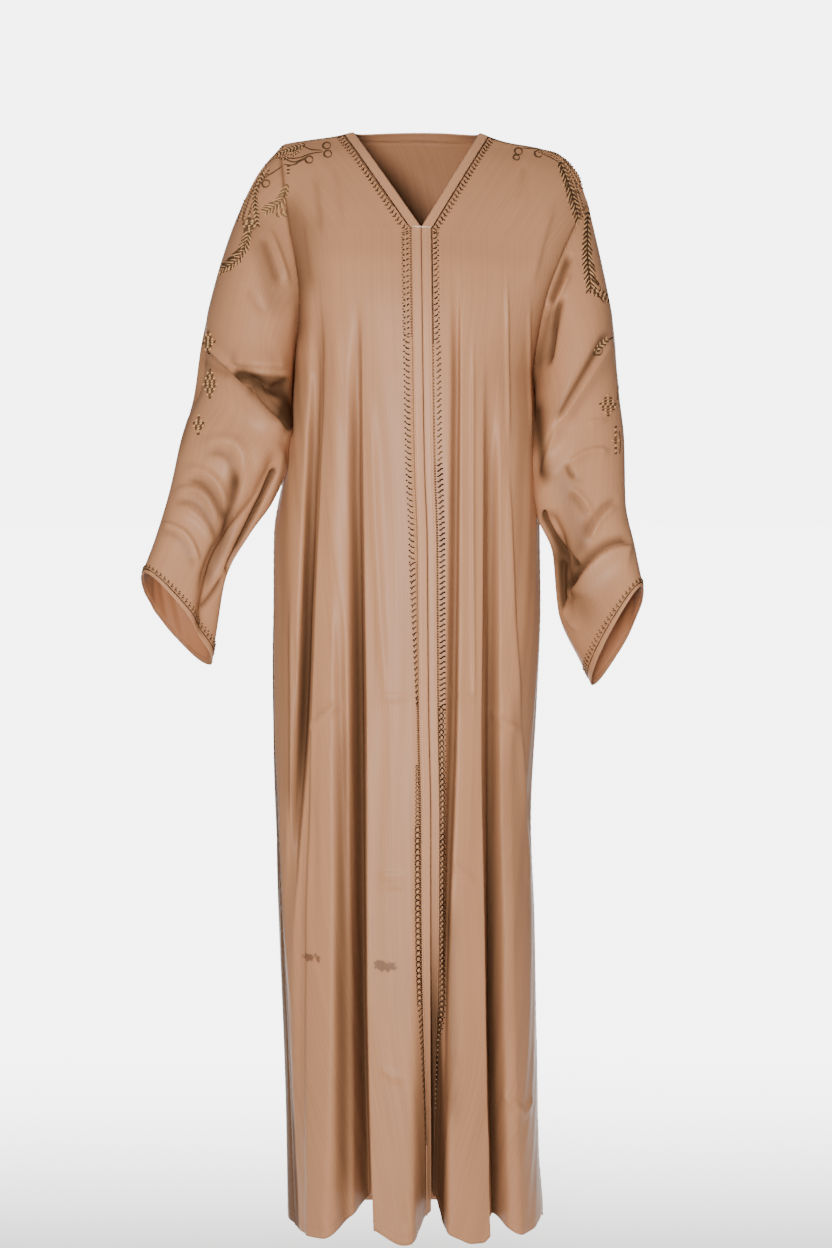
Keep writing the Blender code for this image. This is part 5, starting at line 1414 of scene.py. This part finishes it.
def satin(name, colour, roughness, sheen, stains=()):
    """Satin crepe: fine streaks along the warp, faint clouds of tone, shade painted into its hollows,
    a soft sheen and stains.
    """
    finish, tree, shader = blank(name)
    place = node(tree, "ShaderNodeTexCoord")
    warp = node(tree, "ShaderNodeMapping",
                {"Vector": place.outputs["UV"], "Scale": (WARP_FINE, WARP_LONG, 1)})
    streaks = noise(tree, warp.outputs["Vector"], 1.0, 3.0)
    clouds = noise(tree, place.outputs["Object"], CLOUDS, 2.0)
    base = mixed(tree, streaks, toned(colour, STREAK_DARK), toned(colour, 1.0))
    clouds = math_node(tree, "MULTIPLY", clouds, CLOUD_SHARE)
    base = mixed(tree, clouds, base, toned(colour, CLOUD_PALE))
    # Shade painted into the colour: the cloth darkens towards the full painted shade where the mark
    # rises
    painted_shade = node(tree, "ShaderNodeAttribute", attribute_name="painted_shade").outputs["Fac"]
    base = mixed(tree, painted_shade, base, toned(colour, PAINTED_SHADE_TONE))
    if stains:
        specks = noise(tree, place.outputs["Object"], SPECKS, 3.0)
    for stain in stains:
        offset = node(tree, "ShaderNodeMapping", {
            "Vector": place.outputs["Object"],
            "Location": [-c / r for c, r in zip(stain.centre, stain.reach)],
            "Scale": [1 / r for r in stain.reach]}).outputs["Vector"]
        away = node(tree, "ShaderNodeVectorMath", {0: offset}, operation="LENGTH").outputs["Value"]
        ragged = math_node(tree, "ADD", away, math_node(tree, "MULTIPLY", specks, SPECK_DRIFT))
        mask = ranged(tree, ragged, STAIN_FULL, STAIN_END, stain.depth, 0.0)
        base = mixed(tree, mask, base, stain.colour)
    # The gloss fades out where shade is painted
    gloss = ranged(tree, painted_shade, 0.0, GLOSS_END, GLOSS, 0.0)
    bump = node(tree, "ShaderNodeBump",
                {"Height": streaks, "Strength": WARP_BUMP, "Distance": WARP_DEPTH})
    feed(tree, shader, {"Base Color": base, "Roughness": roughness, "Specular IOR Level": gloss,
                        "Sheen Weight": sheen, "Sheen Roughness": SHEEN_ROUGH,
                        "Normal": bump.outputs["Normal"]})
    return finish


def thread_finish(name, dark, gold):
    """Silk thread, from dark to gold with each stroke's own shade."""
    finish, tree, shader = blank(name)
    shade = node(tree, "ShaderNodeAttribute", attribute_name="shade").outputs["Fac"]
    colour = mixed(tree, shade, (*dark, 1.0), (*gold, 1.0))
    feed(tree, shader, {"Base Color": colour, "Roughness": SILK_ROUGH, "Specular IOR Level": GLOSS})
    return finish


def plain(name, colour, roughness):
    """A plain material."""
    finish, tree, shader = blank(name)
    feed(tree, shader, {"Base Color": (*colour, 1.0), "Roughness": roughness})
    return finish


def once(name, make, *values):
    """The material of this name, made the first time that it is asked for."""
    return bpy.data.materials.get(name) or make(name, *values)


@functools.cache
def panel(name, side=0):
    """A finished surface, worked out once: front, sleeve (of a side) or back."""
    if name == "front":
        return Panel(*front_grid(side), side)
    if name == "sleeve":
        return Panel(*sleeve_grid(side), -side, closed=True)
    return Panel(*back_grid(), -1)


def satins(band=False):
    """The outer face of the panels, or of the bands, and the reverse."""
    look = bpy.context.scene.abaya_look
    name, colour = ("Band satin", look.band) if band else ("Camel satin", look.satin)
    return (once(name, satin, colour, look.roughness, look.sheen, () if band else STAINS),
            once("Satin reverse", satin, look.reverse, REVERSE_ROUGH, REVERSE_SHEEN))


class AbayaLook(bpy.types.PropertyGroup):
    """Colours and finish of the cloth and the threads."""

    satin: bpy.props.FloatVectorProperty(
        name="Satin", description="Colour of the panels and sleeves",
        subtype="COLOR", size=3, min=0, max=1, default=(0.405, 0.195, 0.099))
    band: bpy.props.FloatVectorProperty(
        name="Band", description="Colour of the neck band and the plackets",
        subtype="COLOR", size=3, min=0, max=1, default=(0.455, 0.225, 0.120))
    reverse: bpy.props.FloatVectorProperty(
        name="Reverse", description="Colour of the inside of the cloth",
        subtype="COLOR", size=3, min=0, max=1, default=(0.27, 0.122, 0.060))
    facing: bpy.props.FloatVectorProperty(
        name="Facing", description="Colour of the facings inside the cuffs",
        subtype="COLOR", size=3, min=0, max=1, default=(0.30, 0.12, 0.055))
    dark: bpy.props.FloatVectorProperty(
        name="Dark thread", description="Colour of the dark embroidery thread",
        subtype="COLOR", size=3, min=0, max=1, default=(0.014, 0.0050, 0.0022))
    gold: bpy.props.FloatVectorProperty(
        name="Gold thread", description="Colour of the light embroidery thread",
        subtype="COLOR", size=3, min=0, max=1, default=(0.60, 0.33, 0.155))
    roughness: bpy.props.FloatProperty(
        name="Roughness", description="Roughness of the satin", min=0, max=1, default=0.42)
    sheen: bpy.props.FloatProperty(
        name="Sheen", description="Soft light that the cloth gives at its edges",
        min=0, max=1, default=0.0)


class AbayaSizes(bpy.types.PropertyGroup):
    """Sizes of what the frame doesn't hold."""

    wall: bpy.props.FloatProperty(
        name="Cloth", description="Thickness of the panels' cloth", unit="LENGTH",
        min=0.0002, max=0.002, default=0.0011)
    band_wall: bpy.props.FloatProperty(
        name="Band", description="Thickness of the turned bands", unit="LENGTH",
        min=0.0002, max=0.003, default=0.0018)
    thread: bpy.props.FloatProperty(
        name="Thread", description="Radius of the embroidery thread", unit="LENGTH",
        min=0.0001, max=0.001, default=0.00088)
    stitch: bpy.props.FloatProperty(
        name="Sewing thread", description="Radius of the sewing thread", unit="LENGTH",
        min=0.0001, max=0.001, default=0.00022)


class ABAYA_OT_fronts(bpy.types.Operator):
    """Builds the two front panels"""

    bl_idname = "abaya.fronts"
    bl_label = "Front panels"

    def execute(self, context):
        for side, name, flat, area in ((RIGHT, "right", (0.35, 1.45), 0.381),
                                       (LEFT, "left", (0.33, 1.45), 0.350)):
            made = panel("front", side)
            piece = cloth(f"front_panel_{name}", made.grid, side,
                          context.scene.abaya_sizes.wall, satins(), painted_shade=made.painted_shade)
            worn(piece, f"front_{name}")
        return {"FINISHED"}


class ABAYA_OT_back(bpy.types.Operator):
    """Builds the back panel"""

    bl_idname = "abaya.back"
    bl_label = "Back panel"

    def execute(self, context):
        made = panel("back")
        piece = cloth("back_panel", made.grid, -1, context.scene.abaya_sizes.wall,
                      satins(), painted_shade=made.painted_shade)
        worn(piece, "back")
        return {"FINISHED"}


class ABAYA_OT_sleeves(bpy.types.Operator):
    """Builds the two sleeves"""

    bl_idname = "abaya.sleeves"
    bl_label = "Sleeves"

    def execute(self, context):
        for side, name, flat, area in ((RIGHT, "right", (0.44, 0.62), 0.192),
                                       (LEFT, "left", (0.42, 0.60), 0.166)):
            made = panel("sleeve", side)
            piece = cloth(f"sleeve_cloth_{name}", made.grid, -side,
                          context.scene.abaya_sizes.wall, satins(), closed=True,
                          painted_shade=made.painted_shade)
            worn(piece, f"sleeve_{name}")
        return {"FINISHED"}


class ABAYA_OT_neck_band(bpy.types.Operator):
    """Builds the band round the neck"""

    bl_idname = "abaya.neck_band"
    bl_label = "Neck band"

    def execute(self, context):
        share = np.linspace(0, 1, BAND_COLUMNS + 1)
        rows = np.linspace(NECK_ROW * TOP_ROWS, 0, V_FINE + 1)
        nape = np.linspace(0, 1, NAPE_FINE + 1)[1:]
        halves = []
        for side in SIDES:
            turns = band_turn(side, rows)
            strip = front(side, rows[:, None], turns[:, None] * share)
            edge, seam = back_neck(side, nape)
            behind = edge[:, None] + (seam - edge)[:, None] * share[:, None]
            halves.append(np.concatenate([strip, behind]))
        grid = np.concatenate([halves[0], halves[1][-2::-1]])
        grid = crowned(grid, normals(grid, 1))
        piece = cloth("neck_band_cloth", grid, 1, context.scene.abaya_sizes.band_wall,
                      satins(band=True))
        worn(piece, "neck_band")
        return {"FINISHED"}


class ABAYA_OT_plackets(bpy.types.Operator):
    """Builds the strips down the two front edges"""

    bl_idname = "abaya.plackets"
    bl_label = "Plackets"

    def execute(self, context):
        share = np.linspace(0, 1, BAND_COLUMNS + 1)
        rows = np.linspace(NECK_ROW * TOP_ROWS, TOP_ROWS + SKIRT_ROWS, PLACKET_FINE + 1)
        for side, name in SIDES.items():
            turns = band_turn(side, rows)
            grid = front(side, rows[:, None], turns[:, None] * share)
            grid[..., 0] += side * PLACKET_PARTING * (1 - share)
            grid = crowned(grid, normals(grid, side))
            # Painted shade on the turned-back edge
            painted_shade = ease(turn_depth(side, grid[..., 0], -grid[..., 2]) / TURN_SHADE) * TURNED[side]
            piece = cloth(f"placket_cloth_{name}", grid, side,
                          context.scene.abaya_sizes.band_wall, satins(band=True), painted_shade=painted_shade)
            worn(piece, f"placket_{name}")
        return {"FINISHED"}


class ABAYA_OT_facings(bpy.types.Operator):
    """Builds the facings inside the cuffs"""

    bl_idname = "abaya.facings"
    bl_label = "Cuff facings"

    def execute(self, context):
        sizes, look = context.scene.abaya_sizes, context.scene.abaya_look
        finish = once("Cuff facing", satin, look.facing, FACING_ROUGH, REVERSE_SHEEN)
        first = round((1 - CUFF_FACING / SLEEVE_LENGTH) * SLEEVE_FINE)
        for side, name in SIDES.items():
            made = panel("sleeve", side)
            grid = made.grid[first:] - made.normal[first:] * (sizes.wall + FACING_CLEAR)
            piece = cloth(f"cuff_facing_cloth_{name}", grid[:-1], -side, sizes.wall, (finish,),
                          closed=True)
            worn(piece, f"cuff_facing_{name}")
        return {"FINISHED"}


def border(place, rows, radius, length=None):
    """The stitches of a border. place puts points at distances along it and across it."""
    kinds = []
    for row in rows:
        end = row.end if length is None else length
        s = np.arange(row.start, end, row.pitch / 1000)
        share = (s - row.start) / (end - row.start)
        near, wide = ((a + (b - a) * share)[:, None] for a, b in
                      (np.full(2, row.near) / 1000, np.full(2, row.wide) / 1000))
        shade = row.shade + SHADE_DRIFT * np.sin(SHADE_BEAT * np.arange(len(s)))
        shape = MOTIFS[row.motif]
        along = s[:, None] + shape[:, 0] * (row.size / 1000)
        across = near + shape[:, 1] * wide
        thick = radius * row.thick
        placed = place(along, across, thick * THREAD_LIFT)
        kinds.append(Strokes(*placed, thick, shade, row.motif == "loop"))
    return kinds


def needlework(side, sight, radius):
    """The thread work of one shoulder and sleeve, from its tables."""
    kinds = []

    def laid(flat, thick, shade, closed=False):
        size = radius * thick
        points, normal, past = sight.at(flat[..., 0], flat[..., 1], size * THREAD_LIFT)
        if len(flat) == 1 and not closed:
            points, normal = points[:, past[0] < SIGHT_REACH], normal[:, past[0] < SIGHT_REACH]
        else:
            seen = past.max(axis=1) < SIGHT_REACH
            points, normal = points[seen], normal[seen]
        if points.shape[0] and points.shape[1] > 2:
            kinds.append(Strokes(points, normal, size, shade, closed))

    for vine in VINES[side]:
        count = max(VINE_LEAST, round(length_of(vine.points) / VINE_STEP))
        laid(flowing(vine.points, count)[None], vine.thick, vine.shade)
    for leaf in LEAVES[side]:
        for lengths, lean in ((leaf.left, leaf.lean_left), (leaf.right, leaf.lean_right)):
            if lengths:
                stitches = branching(leaf.spine, leaf.pitch, lengths, lean)
                laid(stitches[::2], LEAF_THICK, leaf.shade)
                laid(stitches[1::2], LEAF_THICK * SECOND_THICK, SECOND_THREAD)
    for fill in FILLINGS[side]:
        count = round(length_of(fill.first) / fill.pitch)
        first, last = flowing(fill.first, count), flowing(fill.last, count)
        share = (np.arange(fill.rows) + 0.5) / fill.rows
        middle = first[:, None] + (last - first)[:, None] * share[None, :, None]
        way = unit(np.gradient(middle, axis=0))
        lean = np.where(np.arange(fill.rows) % 2 == 0, 1, -1)[None, :] * FILL_LEAN
        way = rotated(way, lean)
        for first_row, shade in ((0, fill.shade), (1, SECOND_THREAD)):
            place, lie = middle[:, first_row::2], way[:, first_row::2]
            laid(short(place.reshape(-1, 2), lie.reshape(-1, 2), fill.length), FILL_THICK, shade)
    for ring in RINGLETS[side]:
        centre = np.array([[ring.x, ring.z]]) / 1000
        laid(rings(centre, ring.radius / 1000), RING_THICK, ring.shade, closed=True)
    for bead in BEADINGS[side]:
        v, u = np.meshgrid(np.linspace(-1, 1, bead.rows), np.linspace(-1, 1, bead.columns),
                           indexing="ij")
        inside = np.abs(u) + np.abs(v) < BEAD_EDGE
        centre = np.stack([bead.x + u * bead.wide / 2, bead.z + v * bead.high / 2], axis=-1)[inside]
        way = np.tile(BEAD_WAY, (len(centre), 1))
        beads = short(centre / 1000, way, BEAD_LENGTH)
        laid(beads[::2], BEAD_THICK, bead.shade)
        laid(beads[1::2], BEAD_THICK, SECOND_THREAD)
    return kinds


class ABAYA_OT_borders(bpy.types.Operator):
    """Builds the stitched borders beside the bands and round the cuffs"""

    bl_idname = "abaya.borders"
    bl_label = "Borders"

    def execute(self, context):
        look, sizes = context.scene.abaya_look, context.scene.abaya_sizes
        finish = once("Embroidery silk", thread_finish, look.dark, look.gold)
        for side, name in SIDES.items():
            kinds = border(panel("front", side).along_side, BORDERS[side], sizes.thread)
            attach(threads(f"front_border_{name}", kinds, finish), "root")
            cuff = panel("sleeve", side)
            around = arcs(wrapped(cuff.grid[-1:]))[0, -1]
            kinds = border(cuff.along_cuff, CUFF_BORDER, sizes.thread, around)
            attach(threads(f"cuff_border_{name}", kinds, finish), "root")
        behind = panel("back")
        first = BACK_FINE - NECK_COLUMNS
        top = arcs(behind.grid[:1, first:BACK_FINE + NECK_COLUMNS + 1])[0, -1]

        def nape(along, across, lift):
            return behind.along_top(along, across, lift, first)

        kinds = border(nape, NAPE_BORDER, sizes.thread, top)
        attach(threads("nape_border", kinds, finish), "root")
        return {"FINISHED"}


class ABAYA_OT_needlework(bpy.types.Operator):
    """Builds the thread work of the shoulders and sleeves"""

    bl_idname = "abaya.needlework"
    bl_label = "Needlework"

    def execute(self, context):
        look, sizes = context.scene.abaya_look, context.scene.abaya_sizes
        finish = once("Embroidery silk", thread_finish, look.dark, look.gold)
        for side, name in SIDES.items():
            sight = Sight([panel("front", side), panel("sleeve", side)])
            kinds = needlework(side, sight, sizes.thread)
            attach(threads(f"needlework_{name}", kinds, finish), "root")
        return {"FINISHED"}


class ABAYA_OT_stitches(bpy.types.Operator):
    """Builds the hem's stitches and the bar tack at the point of the V"""

    bl_idname = "abaya.stitches"
    bl_label = "Stitches"

    def execute(self, context):
        look, sizes = context.scene.abaya_look, context.scene.abaya_sizes
        finish = once("Hem thread", plain, look.reverse, SEWING_ROUGH)
        for name, made in (("front_right_hem", panel("front", RIGHT)),
                           ("front_left_hem", panel("front", LEFT)), ("back_hem", panel("back"))):
            span = arcs(made.grid[-1:])[0, -1]
            s = np.arange(HEM_PITCH, span - HEM_PITCH, HEM_PITCH)[:, None]
            s = s + np.linspace(0, HEM_STITCH, 4)
            placed = made.along_hem(s, np.full(s.shape, HEM_DEPTH), sizes.stitch)
            kinds = [Strokes(*placed, sizes.stitch, 0.0)]
            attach(threads(f"{name}_stitches", kinds, finish), "root")
        white = once("White thread", plain, WHITE, SEWING_ROUGH)
        sides = [panel("front", side) for side in SIDES]
        row = NECK_ROW * TOP_FINE
        ends = [made.at(np.array([row]), np.zeros(1), TACK_LIFT) for made in sides]
        share = np.linspace(0, 1, TACK_POINTS)[None, :, None]
        points = ends[0][0][:, None] * (1 - share) + ends[1][0][:, None] * share
        points = points + np.array([0, -1, 0]) * TACK_BOW * np.sin(math.pi * share)
        normal = np.broadcast_to([0.0, -1.0, 0.0], points.shape)
        tack = threads("bar_tack", [Strokes(points, normal, TACK_RADIUS, 0.0)], white)
        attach(tack, "root")
        return {"FINISHED"}


def area_light(name, location, target, size, power, spread, colour):
    """A soft light that looks at a target and fans out over so many degrees."""
    data = bpy.data.lights.new(name, "AREA")
    data.shape = "DISK"
    data.size = size
    data.energy = power
    data.spread = math.radians(spread)
    data.color = colour
    lamp = bpy.data.objects.new(name, data)
    bpy.context.scene.collection.objects.link(lamp)
    lamp.location = location
    lamp.rotation_euler = (Vector(target) - Vector(location)).to_track_quat("-Z", "Y").to_euler()


def pale_floor(name):
    """A pale floor that glows, brighter away from the garment: painted light that stands in for a lit
    backdrop's foot.
    """
    finish = plain(name, FLOOR_COLOUR, FLOOR_ROUGH)
    tree = finish.node_tree
    place = node(tree, "ShaderNodeTexCoord").outputs["Object"]
    parts = node(tree, "ShaderNodeSeparateXYZ", {"Vector": place}).outputs
    glow = ranged(tree, parts["Y"], GLOW_NEAR, GLOW_FAR, 0.0, FLOOR_GLOW, "SMOOTHSTEP")
    slant = math_node(tree, "DIVIDE", math_node(tree, "ABSOLUTE", parts["X"]),
                      math_node(tree, "SUBTRACT", parts["Y"], GLOW_START))
    middle = ranged(tree, slant, GLOW_WIDE, GLOW_NARROW, 0.0, 1.0, "SMOOTHSTEP")
    glow = math_node(tree, "MULTIPLY", glow, middle)
    feed(tree, tree.nodes["Principled BSDF"],
         {"Emission Color": (1, 1, 1, 1), "Emission Strength": glow})
    return finish


class ABAYA_OT_stage(bpy.types.Operator):
    """Builds the floor, the light and the camera"""

    bl_idname = "abaya.stage"
    bl_label = "Stage"

    def execute(self, context):
        corner = np.array([(-1, -1), (1, -1), (1, 1), (-1, 1)]) * FLOOR_HALF
        floor = meshed("floor", [(x, y, FLOOR_Z) for x, y in corner], [(0, 1, 2, 3)],
                       (once("Pale floor", pale_floor),))
        world = bpy.data.worlds.new("Studio")
        world.use_nodes = True
        tree = world.node_tree
        way = node(tree, "ShaderNodeTexCoord").outputs["Generated"]
        behind = node(tree, "ShaderNodeVectorMath", {0: way, 1: (0, 1, 0)},
                      operation="DOT_PRODUCT").outputs["Value"]
        strength = ranged(tree, behind, *WORLD_SPOT, 0.0, WORLD_HIGH, "SMOOTHSTEP")
        up = node(tree, "ShaderNodeSeparateXYZ", {"Vector": way}).outputs["Z"]
        height = ranged(tree, up, *WORLD_HEIGHTS, WORLD_LOW, WORLD_TOP)
        strength = math_node(tree, "ADD", strength, height)
        feed(tree, tree.nodes["Background"], {"Color": (1, 1, 1, 1), "Strength": strength})
        context.scene.world = world
        for light in LIGHTS:
            area_light(*light)
        data = bpy.data.cameras.new("Camera")
        data.lens = CAMERA_LENS
        data.sensor_width = CAMERA_SENSOR
        data.clip_end = 100
        camera = bpy.data.objects.new("Camera", data)
        camera.location = CAMERA_PLACE
        camera.rotation_euler = (math.radians(90 - CAMERA_TILT), 0, 0)
        context.scene.collection.objects.link(camera)
        context.scene.camera = camera
        return {"FINISHED"}


class ABAYA_PT_garment(bpy.types.Panel):
    """Lists the garment's operators in the sidebar"""

    bl_idname = "ABAYA_PT_garment"
    bl_label = "Abaya"
    bl_space_type = "VIEW_3D"
    bl_region_type = "UI"
    bl_category = "Abaya"

    def draw(self, context):
        for group in (context.scene.abaya_look, context.scene.abaya_sizes):
            box = self.layout.box()
            for name in group.__annotations__:
                box.prop(group, name)
        for operator in OPERATORS:
            self.layout.operator(operator.bl_idname)


GROUPS = {"abaya_look": AbayaLook, "abaya_sizes": AbayaSizes}
OPERATORS = (
    ABAYA_OT_fronts, ABAYA_OT_back, ABAYA_OT_sleeves, ABAYA_OT_neck_band, ABAYA_OT_plackets,
    ABAYA_OT_facings, ABAYA_OT_borders, ABAYA_OT_needlework, ABAYA_OT_stitches, ABAYA_OT_stage,
)


def register():
    """Registers the classes and puts their settings on the scene."""
    for made in (*GROUPS.values(), *OPERATORS, ABAYA_PT_garment):
        bpy.utils.register_class(made)
    for name, group in GROUPS.items():
        setattr(bpy.types.Scene, name, bpy.props.PointerProperty(type=group))


def unregister():
    """Takes the settings off the scene and unregisters the classes."""
    for name in GROUPS:
        delattr(bpy.types.Scene, name)
    for made in reversed((*GROUPS.values(), *OPERATORS, ABAYA_PT_garment)):
        bpy.utils.unregister_class(made)


def main():
    """Builds the garment and its stage."""
    register()
    bpy.ops.abaya.fronts()
    bpy.ops.abaya.back()
    bpy.ops.abaya.sleeves()
    bpy.ops.abaya.neck_band()
    bpy.ops.abaya.plackets()
    bpy.ops.abaya.facings()
    bpy.ops.abaya.borders()
    bpy.ops.abaya.needlework()
    bpy.ops.abaya.stitches()
    bpy.ops.abaya.stage()


if __name__ == "__main__":
    main()
